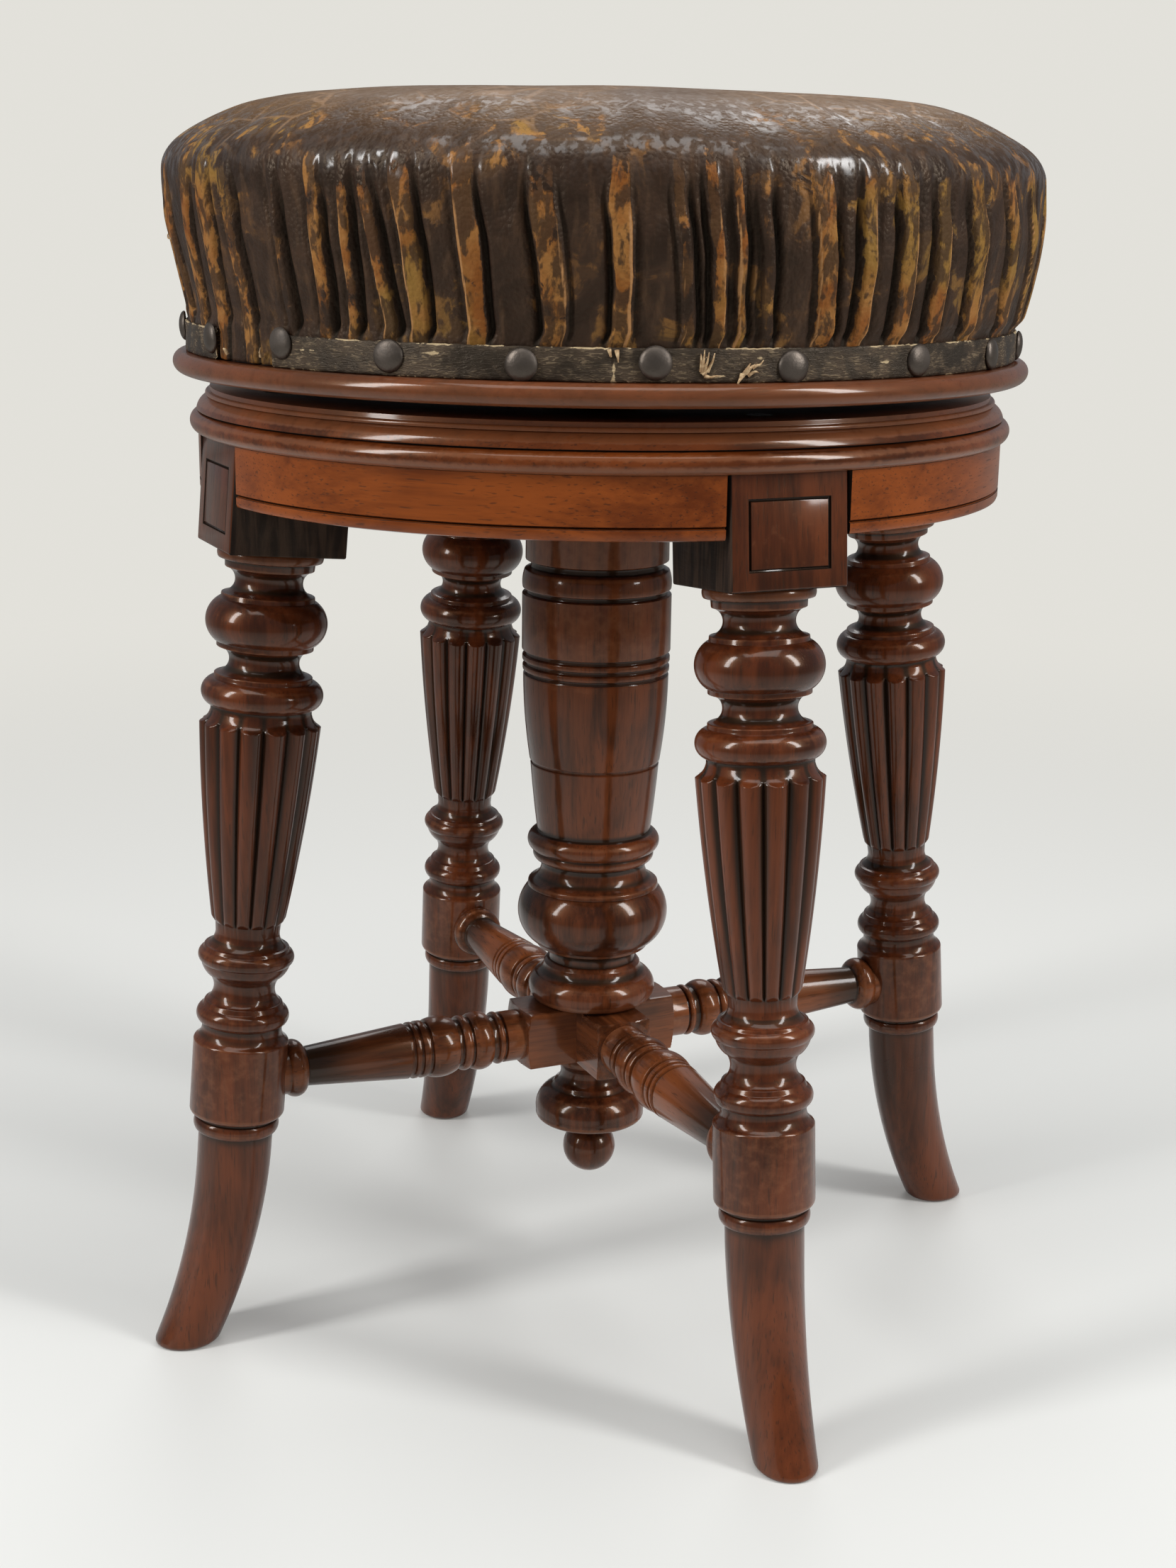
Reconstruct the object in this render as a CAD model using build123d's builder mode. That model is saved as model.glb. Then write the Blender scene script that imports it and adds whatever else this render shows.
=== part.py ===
from build123d import *
from math import asin, ceil, cos, pi, radians, sin, tan
import os

# A revolving piano stool. Millimetres, +Z up. The origin is on the floor under the column's axis,
# and the four legs stand on the X and Y axes, with the leg nearest the viewer on -Y.

# ---- Driving dimensions -------------------------------------------------------------------------

# Moulded frame under the seat
frame_top = 391.0  # upper face of the frame's board, from the floor
frame_board_thickness = 17.8
rail_radius, rail_thickness, rail_height = 161.8, 19.0, 22.7
rail_scribe_height, rail_scribe_width = 4.6, 1.2
rail_edge = 1.4  # rounded lower edge
rail_joint_gap = 1.5  # open joint between a rail's end and the block
frame_bead_overhang, frame_bead_thickness = 3.2, 8.2  # past the rails
frame_ovolo_overhang, frame_ovolo_thickness = 0.5, 5.2
frame_step_inset, frame_step_thickness = 3.2, 1.7  # inside the rails' face
frame_rim_inset = 4.9
frame_quirk = 0.5  # fine groove between mouldings
tenon_length, tenon_thickness, tenon_height = 11.0, 8.0, 13.0
tenon_inset = 11.8  # middle of a tenon, inside the rails' outer face
joint_clearance = 0.2  # glue room round tenons, pegs and let-in plates
glue_block_size, glue_block_arc, glue_block_spread = 15.0, 10.0, 18.0

# Legs. Heights on a leg are measured along it from where its straight axis meets the floor.
leg_splay = 4.95  # degrees that each leg leans outwards
block_width, block_height = 46.4, 42.8  # square block at the head of a leg
block_set_back = 1.5  # block's face behind the rails' face, half way up the rails
block_edge = 0.7  # softened corners
panel_width, panel_height, panel_drop = 32.4, 25.0, 23.2  # scribed panel on the outer face
scribe_width, scribe_depth = 1.4, 1.1
neck_drop = 64.4  # reeding starts this far under the block
reed_count, reed_depth = 14, 3.0
reed_top_radius, reed_middle_radius, reed_foot_radius = 24.3, 20.6, 14.6
reed_end_rise = 66.5  # where the reeds have rounded into the neck, above the stretcher
leg_socket_radius = 19.3  # turned cylinder that takes the stretcher
foot_top_drop, foot_top_radius = 23.4, 15.1  # under the stretcher
foot_bend_top, foot_kick = 84.0, 15.5  # the foot bends out from here, by this much at the floor
foot_sole_radius = 11.7
sole_rounding = 3.0

# Stretchers, column and finial
stretcher_height = 113.8
stretcher_square, stretcher_square_end = 24.6, 34.6
pommel_radius, pommel_length = 13.0, 3.2  # turned-off corners at the ends of the square
stretcher_tenon_radius, stretcher_tenon_depth = 6.5, 13.0
spindle_bore_gap, spindle_bore_spare = 1.5, 37.0  # round and under the screw
peg_radius, peg_depth = 7.0, 24.0  # finial's peg, up through the cross into the column
ball_radius, ball_neck_radius, ball_drop = 10.7, 7.2, 45.5  # finial's ball, under the cross

# Seat. Heights are above the underside of its board.
seat_gap = 5.1  # open gap between frame and seat board at rest
seat_board_radius, seat_bead_thickness, seat_bead_depth = 170.9, 8.6, 8.5
seat_board_thickness = 20.0
leather_thickness = 1.8
cushion_waist_swell, cushion_waist_height = 1.8, 21.5
cushion_side_swell, cushion_side_height = 7.8, 71.9
cushion_edge_inset, cushion_edge_height = 6.2, 94.9
crown_height = 110.9
banding_thickness, banding_height, banding_gap = 1.5, 11.5, 0.1
nail_head_radius, nail_head_height = 5.75, 2.4
nail_shank_radius, nail_shank_length = 0.9, 11.0
banding_end, banding_start = 187.3, 200.8  # azimuths of the stretch where the band is torn away
# Azimuth of each nail, and its height over the middle of the band, as driven by hand
nail_places = [(164.0, 3.0), (185.2, 1.9), (202.6, 2.8), (219.6, 0.9), (236.2, -0.4),
               (251.8, 0.9), (268.7, -0.6), (287.9, 0.0), (305.9, 0.0), (325.1, 0.0)]
further_nails = 11  # evenly spaced from the last of these round to the first

# Screw and nut
screw_radius, thread_depth = 11.0, 1.5  # over the thread's crests
screw_lead = 6.0  # rise in one turn
thread_crest, thread_root = 2.2, 4.0  # width of the thread at its crest and at its root
thread_clearance = 0.2  # between the two threads, all round
thread_runout = 2.0  # plain length before a thread starts
screw_stub_reduction = 2.5  # plain end riveted in the flange
seat_travel = 100.0  # rise from the photographed height
nut_engagement = 26.0  # thread still in the nut at the top of the travel
running_clearance = 0.06
nut_plate_radius, nut_plate_thickness = 42.0, 4.0
nut_wall, nut_barrel_length = 6.0, 30.0
flange_radius, flange_thickness = 58.0, 5.0
flange_boss_wall, flange_boss_height = 10.5, 8.0
washer_width, washer_thickness, washer_clearance = 8.7, 1.6, 0.3
metal_edge = 0.5  # chamfer on plates and rings

# Countersunk screws
wood_screw_radius, wood_screw_head_radius, wood_screw_length = 2.2, 4.4, 12.0
flange_screw_circle, flange_screw_count = 46.0, 6
nut_screw_circle, nut_screw_count = 31.0, 4
board_screw_radius, board_screw_head_radius, board_screw_length = 2.4, 4.8, 42.0
screw_slot_width, screw_slot_depth = 1.0, 0.9

# ---- Sizes that follow --------------------------------------------------------------------------

lean = radians(leg_splay)
frame_foot = frame_top - frame_board_thickness
rail_foot = frame_foot - rail_height
rail_middle = frame_foot - rail_height / 2
rail_inner_radius = rail_radius - rail_thickness
tenon_radius = rail_radius - tenon_inset

leg_foot_radius = rail_radius - block_set_back - block_width / 2 / cos(lean) + rail_middle * tan(lean)
leg_head_radius = leg_foot_radius - frame_foot * tan(lean)
block_foot = frame_foot / cos(lean) - block_height
neck_foot = block_foot - neck_drop
leg_socket_height = stretcher_height / cos(lean)
reed_end = leg_socket_height + reed_end_rise
foot_top = leg_socket_height - foot_top_drop
socket_face = leg_foot_radius - stretcher_height * tan(lean) - leg_socket_radius

cross_half = stretcher_square / 2
cross_top = stretcher_height + cross_half
cross_foot = stretcher_height - cross_half

seat_foot = frame_top + seat_gap
seat_bead_top = seat_foot + seat_bead_thickness
seat_board_top = seat_foot + seat_board_thickness
seat_core_radius = seat_board_radius - seat_bead_depth
leather_radius = seat_core_radius + leather_thickness
banding_foot = seat_bead_top + banding_gap
banding_top = banding_foot + banding_height
banding_middle = (banding_foot + banding_top) / 2
nail_seat = leather_radius + banding_thickness  # radius where a nail's head rests
further_nail_step = (nail_places[0][0] + 360 - nail_places[-1][0]) / (further_nails + 1)
all_nail_places = nail_places + [(nail_places[-1][0] + further_nail_step * count, 0.0)
                                 for count in range(1, further_nails + 1)]

screw_foot = frame_top - nut_engagement - seat_travel
spindle_bore_foot = screw_foot - spindle_bore_spare
nut_barrel_radius = screw_radius + nut_wall
nut_foot = frame_top - nut_plate_thickness - nut_barrel_length
screw_stub_radius = screw_radius - screw_stub_reduction
flange_boss_radius = screw_stub_radius + flange_boss_wall

leg_azimuths = {"leg_front": -90, "leg_left": 180, "leg_back": 90, "leg_right": 0}
rail_azimuths = {"frieze_rail_front_right": -45, "frieze_rail_front_left": -135,
                 "frieze_rail_back_left": 135, "frieze_rail_back_right": 45}


def raised(stations, height):
    """The stations of a turning, moved up by a height."""
    return [(z + height, radius, bulge) for z, radius, bulge in stations]


def draw_turning(stations):
    """Closed half profile of a turning, from the top down: (height, radius, bulge to the next)."""
    for (z0, r0, bulge), (z1, r1, _) in zip(stations, stations[1:]):
        if bulge:
            SagittaArc((r0, z0), (r1, z1), bulge)
        else:
            Line((r0, z0), (r1, z1))
    (z_top, r_top, _), (z_foot, r_foot, _) = stations[0], stations[-1]
    if r_foot > 0:
        Line((r_foot, z_foot), (0, z_foot))
    Line((0, z_foot), (0, z_top))
    if r_top > 0:
        Line((0, z_top), (r_top, z_top))


def azimuth_plane(azimuth, radius, height, tilt=0.0):
    """Plane whose x axis points outwards at this azimuth, leaning out at its foot by the tilt."""
    c, s = cos(radians(azimuth)), sin(radians(azimuth))
    return Plane(origin=(radius * c, radius * s, height),
                 x_dir=(cos(tilt) * c, cos(tilt) * s, sin(tilt)),
                 z_dir=(-sin(tilt) * c, -sin(tilt) * s, cos(tilt)))


def countersunk_screw(head_radius, radius, length):
    """Slotted screw hanging from its head's face at the origin, and the hole that it fills."""
    with BuildPart() as hole:
        with BuildSketch(Plane.XZ):
            with BuildLine():
                draw_turning([(0, head_radius, 0), (radius - head_radius, radius, 0),
                              (2 * radius - length, radius, 0), (-length, 0, 0)])
            make_face()
        revolve(axis=Axis.Z)
    with BuildPart() as screw:
        add(hole.part)
        Box(3 * head_radius, screw_slot_width, 2 * screw_slot_depth, mode=Mode.SUBTRACT)
    return screw.part, hole.part


def thread_ridge(root_radius, tip_radius, root_width, tip_width, foot, height):
    """One helical ridge from its root out (or in) to its tip, rooted a little way into the metal."""
    reach = tip_radius - root_radius
    root = -0.3 * reach
    with BuildPart() as ridge:
        with BuildLine() as path:
            Helix(pitch=screw_lead, height=height, radius=root_radius, center=(0, 0, foot))
        with BuildSketch(Plane(origin=path.line @ 0, x_dir=(1, 0, 0), z_dir=path.line % 0)):
            with BuildLine():
                Polyline((root, -root_width / 2), (0, -root_width / 2), (reach, -tip_width / 2),
                         (reach, tip_width / 2), (0, root_width / 2), (root, root_width / 2),
                         close=True)
            make_face()
        sweep(path=path.line, is_frenet=True)
    return ridge.part


def save(part, name):
    """Label a finished piece and write its file."""
    part.label = name
    export_step(part, f"parts/{name}.step")


os.makedirs("parts", exist_ok=True)

# ---- Screws: the pieces that they hold take their holes from them --------------------------------

wood_screw, wood_screw_hole = countersunk_screw(wood_screw_head_radius, wood_screw_radius,
                                                wood_screw_length)
board_screw, board_screw_hole = countersunk_screw(board_screw_head_radius, board_screw_radius,
                                                  board_screw_length)
flange_screw_places = Plane(origin=(0, 0, seat_foot), x_dir=(1, 0, 0), z_dir=(0, 0, -1))
frame_screw_places = Plane.XY.offset(frame_top)


def place_screws(item, plane, circle, count, start, mode=Mode.ADD):
    """Set copies of a screw, or cut copies of its hole, round a circle."""
    with Locations(plane):
        with PolarLocations(circle, count, start_angle=start):
            add(item, mode=mode)


with BuildPart() as flange_screws:
    place_screws(wood_screw, flange_screw_places, flange_screw_circle, flange_screw_count, 0)
save(flange_screws.part, "flange_screws")

with BuildPart() as nut_screws:
    place_screws(wood_screw, frame_screw_places, nut_screw_circle, nut_screw_count, 45)
save(nut_screws.part, "nut_screws")

with BuildPart() as board_screws:
    place_screws(board_screw, frame_screw_places, leg_head_radius, 4, 0)
save(board_screws.part, "board_screws")

# ---- Legs: each one piece, a square block, turning, reeding and an out-curved foot ---------------

upper_turning = raised([
    (0.5, 20.0, 0), (0, 20.2, 0.5), (-4.0, 20.2, 0), (-4.5, 17.6, 0),
    (-7.5, 17.4, -4.3), (-17.6, 17.6, 0), (-17.7, 18.2, 0), (-19.6, 18.4, 0),
    (-19.7, 19.0, 4.5), (-36.8, 19.6, 0), (-36.9, 19.0, 0), (-38.8, 19.0, 0),
    (-38.9, 18.5, -4.9), (-49.4, 18.8, 0), (-49.6, 19.3, 0), (-51.3, 19.3, 0),
    (-51.4, 20.2, 3.7), (-62.3, 20.4, 0), (-62.4, 19.9, 0), (-neck_drop, 19.9, 0),
], block_foot)
reed_envelope = raised([
    (0, 19.9, 0), (-1.0, 20.2, -0.9), (-5.4, 24.9, 0), (-8.8, 28.0, 0),
], neck_foot) + raised([
    (11.3, 20.0, 0), (7.3, 16.6, 0.7), (0, 13.2, 0),
], reed_end)
lower_turning = raised([
    (reed_end_rise, 13.2, 0), (62.5, 12.9, -0.8), (56.8, 15.8, 0), (56.7, 17.0, 0),
    (55.3, 17.4, 0), (55.1, 17.9, 1.4), (49.6, 18.0, 0.4), (44.6, 15.2, 0),
    (44.4, 14.7, -2.4), (33.4, 14.8, 0), (33.2, 15.6, 0), (31.2, 16.4, 2.1),
    (24.0, 16.9, 0), (23.8, 16.3, 0), (22.4, 16.2, -0.9), (17.0, 18.9, 0),
    (16.4, leg_socket_radius, 0), (-12.8, leg_socket_radius, 0.5), (-15.4, 17.8, 0),
    (-15.6, 16.1, 0), (-16.8, 16.1, 0), (-17.0, 16.7, 0.8), (-22.2, 16.5, 0),
    (-22.6, foot_top_radius, 0), (-foot_top_drop, foot_top_radius, 0),
], leg_socket_height)

with BuildPart() as reeding:
    step = 2 * pi / reed_count
    reed_top, reed_foot = neck_foot + 1.2, reed_end - 2.7  # a little past both ends
    for height, crest in ((reed_top, reed_top_radius),
                          ((reed_top + reed_foot) / 2, reed_middle_radius),
                          (reed_foot, reed_foot_radius)):
        valley = crest - reed_depth * crest / reed_top_radius
        with BuildSketch(Plane.XY.offset(height)):
            with BuildLine():
                for reed in range(reed_count):
                    a0, a1, a2 = (step * (reed + part) for part in (0, 0.5, 1))
                    ThreePointArc((valley * cos(a0), valley * sin(a0)),
                                  (crest * cos(a1), crest * sin(a1)),
                                  (valley * cos(a2), valley * sin(a2)))
            make_face()
    loft()
    with BuildSketch(Plane.XZ):
        with BuildLine():
            draw_turning(reed_envelope)
        make_face()
    revolve(axis=Axis.Z, mode=Mode.INTERSECT)

# The floor, as a leg standing upright on its own axis sees it
floor = Plane(origin=(0, 0, 0), x_dir=(cos(lean), 0, -sin(lean)), z_dir=(sin(lean), 0, cos(lean)))
bend_radius = (foot_bend_top**2 + foot_kick**2) / (2 * foot_kick)
bend_arc = 1.12 * foot_bend_top / bend_radius  # runs past the floor, and is cut level there

with BuildPart() as foot:
    for share in (0.0, 0.25, 0.5, 0.75, 1.0):
        turn = share * bend_arc
        with BuildSketch(Plane(origin=(bend_radius * (1 - cos(turn)), 0,
                                       foot_bend_top - bend_radius * sin(turn)),
                               x_dir=(cos(turn), 0, sin(turn)), z_dir=(-sin(turn), 0, cos(turn)))):
            Circle(foot_top_radius + (foot_sole_radius - foot_top_radius) * share**1.3)
    loft()
    split(bisect_by=floor, keep=Keep.TOP)
    fillet(foot.faces().sort_by(Axis.Z)[0].edges(), sole_rounding)

with BuildPart() as leg_blank:
    block_length = 1.5 * block_height  # cut level under the frame's board
    with Locations((0, 0, block_foot + block_length / 2)):
        Box(block_width, block_width, block_length)
    split(bisect_by=floor.offset(frame_foot), keep=Keep.BOTTOM)
    chamfer(leg_blank.edges().filter_by(Axis.Z), block_edge)
    with BuildSketch(Plane.YZ.offset(block_width / 2)):
        with Locations((0, block_foot + block_height - panel_drop)):
            Rectangle(panel_width, panel_height)
            Rectangle(panel_width - 2 * scribe_width, panel_height - 2 * scribe_width,
                      mode=Mode.SUBTRACT)
    extrude(amount=-scribe_depth, mode=Mode.SUBTRACT)
    for turning in (upper_turning, lower_turning):
        with BuildSketch(Plane.XZ):
            with BuildLine():
                draw_turning(turning)
            make_face()
        revolve(axis=Axis.Z)
    add(reeding.part)
    with Locations((0, 0, (foot_top + foot_bend_top) / 2)):
        Cylinder(foot_top_radius, foot_top - foot_bend_top)
    add(foot.part)

rail_end_offset = block_width / 2 + rail_joint_gap
mortise_end = rail_end_offset - tenon_length - joint_clearance

for name, azimuth in leg_azimuths.items():
    with BuildPart() as leg:
        with Locations(azimuth_plane(azimuth, leg_foot_radius, 0, lean)):
            add(leg_blank.part)
        with Locations(azimuth_plane(azimuth, tenon_radius, rail_middle)):
            for side in (-1, 1):
                with Locations((0, side * (mortise_end + block_width) / 2, 0)):
                    Box(tenon_thickness + 2 * joint_clearance, block_width - mortise_end,
                        tenon_height + 2 * joint_clearance, mode=Mode.SUBTRACT)
        with Locations(azimuth_plane(azimuth, socket_face, stretcher_height)):
            Cylinder(stretcher_tenon_radius + joint_clearance,
                     2 * (stretcher_tenon_depth + joint_clearance), rotation=(0, 90, 0),
                     mode=Mode.SUBTRACT)
        place_screws(board_screw_hole, frame_screw_places, leg_head_radius, 4, 0, Mode.SUBTRACT)
    save(leg.part, name)

# ---- Frame: four curved rails tenoned into the blocks, and glue blocks behind them ----------------

scribe_line = rail_foot + rail_scribe_height

with BuildPart() as rail_blank:  # from one leg to the next, starting on +X
    with BuildSketch(Plane.XZ):
        with BuildLine():
            Polyline((rail_radius - rail_edge, rail_foot), (rail_inner_radius, rail_foot),
                     (rail_inner_radius, frame_foot), (rail_radius, frame_foot),
                     (rail_radius, scribe_line + rail_scribe_width / 2),
                     (rail_radius - rail_scribe_width, scribe_line),
                     (rail_radius, scribe_line - rail_scribe_width / 2),
                     (rail_radius, rail_foot + rail_edge))
            SagittaArc((rail_radius, rail_foot + rail_edge),
                       (rail_radius - rail_edge, rail_foot), 0.3 * rail_edge)
        make_face()
    revolve(axis=Axis.Z, revolution_arc=90)
    for end, side in ((0, 1), (90, -1)):
        with Locations(azimuth_plane(end, tenon_radius, rail_middle)):
            Box(2 * rail_thickness, 2 * rail_end_offset, 2 * rail_height, mode=Mode.SUBTRACT)
            with Locations((0, side * rail_end_offset, 0)):
                Box(tenon_thickness, 2 * tenon_length, tenon_height)

for name, azimuth in rail_azimuths.items():
    with BuildPart() as rail:
        with Locations(Rotation(0, 0, azimuth - 45)):
            add(rail_blank.part)
    save(rail.part, name)

with BuildPart() as glue_block:  # centred on +X
    with BuildSketch(Plane.XZ.rotated((0, 0, -glue_block_arc / 2))):
        with BuildLine():
            Polyline((rail_inner_radius, frame_foot),
                     (rail_inner_radius - glue_block_size, frame_foot),
                     (rail_inner_radius, frame_foot - glue_block_size), close=True)
        make_face()
    revolve(axis=Axis.Z, revolution_arc=glue_block_arc)

with BuildPart() as glue_blocks:
    for side in (-1, 1):
        with PolarLocations(0, 4, start_angle=45 + side * glue_block_spread):
            add(glue_block.part)
save(glue_blocks.part, "glue_blocks")

# ---- Frame's board: bead, ovolo and step moulded round its edge, screwed down to the blocks --------

bead_centre = rail_radius + frame_bead_overhang - frame_bead_thickness / 2
quirk_radius = bead_centre - frame_quirk
ovolo_foot = frame_foot + frame_bead_thickness + frame_quirk
ovolo_top = ovolo_foot + frame_ovolo_thickness
step_radius = rail_radius - frame_step_inset
step_top = ovolo_top + frame_quirk + frame_step_thickness
rim_radius = rail_radius - frame_rim_inset

with BuildPart() as top_board:
    with BuildSketch(Plane.XZ):
        with BuildLine():
            draw_turning([
                (frame_top, rim_radius, 0), (step_top, rim_radius, 0),
                (step_top, step_radius - 0.4, 0.3), (ovolo_top + frame_quirk, step_radius, 0),
                (ovolo_top + frame_quirk, step_radius - 2 * frame_quirk, 0),
                (ovolo_top, step_radius - frame_quirk, 0.9),
                (ovolo_foot, rail_radius + frame_ovolo_overhang, 0),
                (ovolo_foot, quirk_radius, 0), (ovolo_foot - frame_quirk, quirk_radius, 0),
                (ovolo_foot - frame_quirk, bead_centre, frame_bead_thickness / 2),
                (frame_foot, bead_centre, 0),
            ])
        make_face()
    revolve(axis=Axis.Z)
    with Locations((0, 0, frame_top)):
        CounterBoreHole(nut_barrel_radius + joint_clearance, nut_plate_radius + joint_clearance,
                        nut_plate_thickness)
    place_screws(wood_screw_hole, frame_screw_places, nut_screw_circle, nut_screw_count, 45,
                 Mode.SUBTRACT)
    place_screws(board_screw_hole, frame_screw_places, leg_head_radius, 4, 0, Mode.SUBTRACT)
save(top_board.part, "top_board")

# ---- Column and finial: turned on one axis, above and below the stretchers' cross ------------------

column_turning = raised([
    (0, 29.6, 0), (-53.8, 29.9, 0), (-54.6, 27.6, 0), (-56.8, 27.6, 0),
    (-57.8, 30.2, 0.5), (-65.6, 31.0, 0), (-66.0, 29.2, 0), (-67.6, 29.2, 0),
    (-68.0, 31.2, 0), (-91.6, 31.2, 0), (-92.0, 29.4, 0), (-93.6, 29.4, 0),
    (-94.0, 31.0, 0), (-96.0, 31.0, 0), (-96.4, 29.3, 0), (-97.8, 29.3, 0),
    (-98.2, 30.9, 0), (-100.2, 30.8, 0), (-100.6, 29.2, 0), (-102.2, 29.2, 0),
    (-102.6, 30.6, 0.7),
], frame_foot) + raised([
    (108.1, 27.6, 0), (107.9, 26.7, 0), (106.8, 26.7, 0), (106.6, 27.3, 0.2),
    (77.1, 24.2, 0), (76.8, 24.8, 2.7), (68.7, 26.2, 0), (68.5, 25.4, 0),
    (67.9, 25.6, 1.0), (63.9, 23.8, 0), (63.5, 22.6, 0), (63.1, 22.4, -1.8),
    (54.5, 27.2, 0), (54.3, 27.8, 0), (52.5, 28.1, 0), (52.3, 27.6, 0),
    (52.1, 27.9, 5.9), (27.1, 24.6, 0), (26.9, 24.2, 0), (25.5, 23.8, 0),
    (25.3, 22.6, -1.3), (20.9, 18.6, 0), (19.3, 18.6, 0), (19.1, 19.6, 0),
    (17.7, 20.6, 0), (17.5, 20.8, -0.8), (12.7, 24.0, 0), (12.5, 24.6, 0),
    (12.3, 24.8, 2.5), (1.3, 25.0, 0), (1.3, 19.0, 0), (0, 19.0, 0),
], cross_top)

with BuildPart() as column:
    with BuildSketch(Plane.XZ):
        with BuildLine():
            draw_turning(column_turning)
        make_face()
    revolve(axis=Axis.Z)
    with Locations((0, 0, frame_foot)):
        CounterBoreHole(screw_radius + spindle_bore_gap, nut_barrel_radius + joint_clearance,
                        frame_foot - nut_foot + joint_clearance, frame_foot - spindle_bore_foot)
    with Locations((0, 0, cross_top)):
        Cylinder(peg_radius + joint_clearance, peg_depth + joint_clearance,
                 align=(Align.CENTER, Align.CENTER, Align.MIN), mode=Mode.SUBTRACT)
save(column.part, "column")

ball_neck_turn = asin(ball_neck_radius / ball_radius)
ball_neck_height = ball_radius * cos(ball_neck_turn) - ball_drop
ball_bulge = ball_radius * (1 - cos((pi - ball_neck_turn) / 2))
finial_turning = raised([
    (0, 15.0, 0.5), (-3.9, 15.6, 0), (-4.9, 14.2, -1.4), (-12.9, 14.4, 0),
    (-13.7, 15.6, 0), (-15.3, 16.4, 0), (-15.9, 16.9, 2.6), (-27.6, 23.7, 1.0),
    (-30.6, 21.4, 0), (-31.0, 14.0, 0), (-31.9, 9.5, 0), (-35.0, 7.4, 0),
    (ball_neck_height, ball_neck_radius, ball_bulge), (-ball_drop - ball_radius, 0, 0),
], cross_foot)

with BuildPart() as finial:
    with BuildSketch(Plane.XZ):
        with BuildLine():
            draw_turning(finial_turning)
        make_face()
    revolve(axis=Axis.Z)
    with Locations((0, 0, cross_foot)):
        Cylinder(peg_radius, stretcher_square + peg_depth,
                 align=(Align.CENTER, Align.CENTER, Align.MIN))
save(finial.part, "finial")

# ---- Stretchers: two turned rails, halved over each other and tenoned into the legs ----------------

arm_turning = raised([
    (5.9, 10.0, 0), (-0.1, 10.5, 2.3), (-8.1, 8.8, 0), (-8.6, 8.2, 0),
], socket_face) + [
    (86.8, 11.8, 0), (86.4, 10.8, 0), (84.8, 10.8, 0), (84.6, 12.0, 0),
    (83.0, 12.0, 0), (82.8, 10.9, 0), (81.4, 10.9, 0), (81.3, 12.1, 0),
    (78.8, 12.1, 0), (78.6, 11.0, 0), (77.2, 11.0, 0), (77.0, 12.2, 1.2),
    (65.2, 11.4, 0), (65.0, 10.2, 0), (62.8, 10.0, 0), (62.7, 11.2, 0.6),
    (59.2, 11.2, 0), (59.2, 10.4, 0), (58.1, 10.4, 0), (58.0, 11.4, 1.3),
    (49.6, 11.2, 0), (49.2, 9.9, 0), (46.8, 9.7, 0), (46.6, 10.8, 0.6),
    (44.2, 10.6, 0), (44.2, 9.6, 0), (43.2, 9.6, 0), (43.0, 10.9, 0),
    (stretcher_square_end - pommel_length, 10.9, 0),
]
corner_radius = 1.01 * cross_half * 2**0.5
arm_plane = Plane(origin=(0, 0, stretcher_height), x_dir=(0, 0, 1), z_dir=(0, 1, 0))
arm_axis = Axis((0, 0, stretcher_height), (1, 0, 0))

with BuildPart() as arm:  # lies along +X
    with BuildSketch(arm_plane):
        with BuildLine():
            draw_turning(arm_turning)
        make_face()
    revolve(axis=arm_axis)
    with Locations(azimuth_plane(0, leg_foot_radius, 0, lean)):
        with Locations((0, 0, leg_socket_height)):
            Cylinder(leg_socket_radius, 4 * stretcher_square, mode=Mode.SUBTRACT)
    with Locations((socket_face + stretcher_tenon_depth, 0, stretcher_height)):
        Cylinder(stretcher_tenon_radius, 2 * stretcher_tenon_depth, rotation=(0, 90, 0),
                 align=(Align.CENTER, Align.CENTER, Align.MAX))

with BuildPart() as stretcher_blank:
    with Locations((0, 0, stretcher_height)):
        Box(2 * stretcher_square_end, stretcher_square, stretcher_square)
    with BuildSketch(arm_plane):
        with BuildLine():
            draw_turning([
                (stretcher_square_end, pommel_radius, 0),
                (stretcher_square_end - pommel_length, corner_radius, 0),
                (pommel_length - stretcher_square_end, corner_radius, 0),
                (-stretcher_square_end, pommel_radius, 0),
            ])
        make_face()
    revolve(axis=arm_axis, mode=Mode.INTERSECT)
    with PolarLocations(0, 2):
        add(arm.part)
    with Locations((0, 0, stretcher_height)):
        Cylinder(peg_radius + joint_clearance, 2 * stretcher_square, mode=Mode.SUBTRACT)

lap_width = stretcher_square + 2 * joint_clearance
for name, turn, side in (("stretcher_x", 0, Align.MIN), ("stretcher_y", 90, Align.MAX)):
    with BuildPart() as stretcher:
        with Locations(Rotation(0, 0, turn)):
            add(stretcher_blank.part)
        with Locations((0, 0, stretcher_height)):
            Box(lap_width, lap_width, stretcher_square,
                align=(Align.CENTER, Align.CENTER, side), mode=Mode.SUBTRACT)
    save(stretcher.part, name)

# ---- Screw, nut, flange and washer --------------------------------------------------------------

thread_foot = screw_foot + thread_runout
nut_turns = ceil((nut_foot + thread_runout - thread_foot) / screw_lead - 0.5)
nut_thread_foot = thread_foot + (nut_turns + 0.5) * screw_lead  # half a turn out of step

with BuildPart() as screw_spindle:
    with Locations((0, 0, screw_foot)):
        Cylinder(screw_radius - thread_depth, seat_foot - screw_foot,
                 align=(Align.CENTER, Align.CENTER, Align.MIN))
    chamfer(screw_spindle.edges().sort_by(Axis.Z)[0], thread_depth)
    with Locations((0, 0, seat_foot)):
        Cylinder(screw_stub_radius, flange_thickness + flange_boss_height,
                 align=(Align.CENTER, Align.CENTER, Align.MIN))
    add(thread_ridge(screw_radius - thread_depth, screw_radius, thread_root, thread_crest,
                     thread_foot, seat_foot - thread_runout - thread_foot))
save(screw_spindle.part, "screw_spindle")

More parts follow.
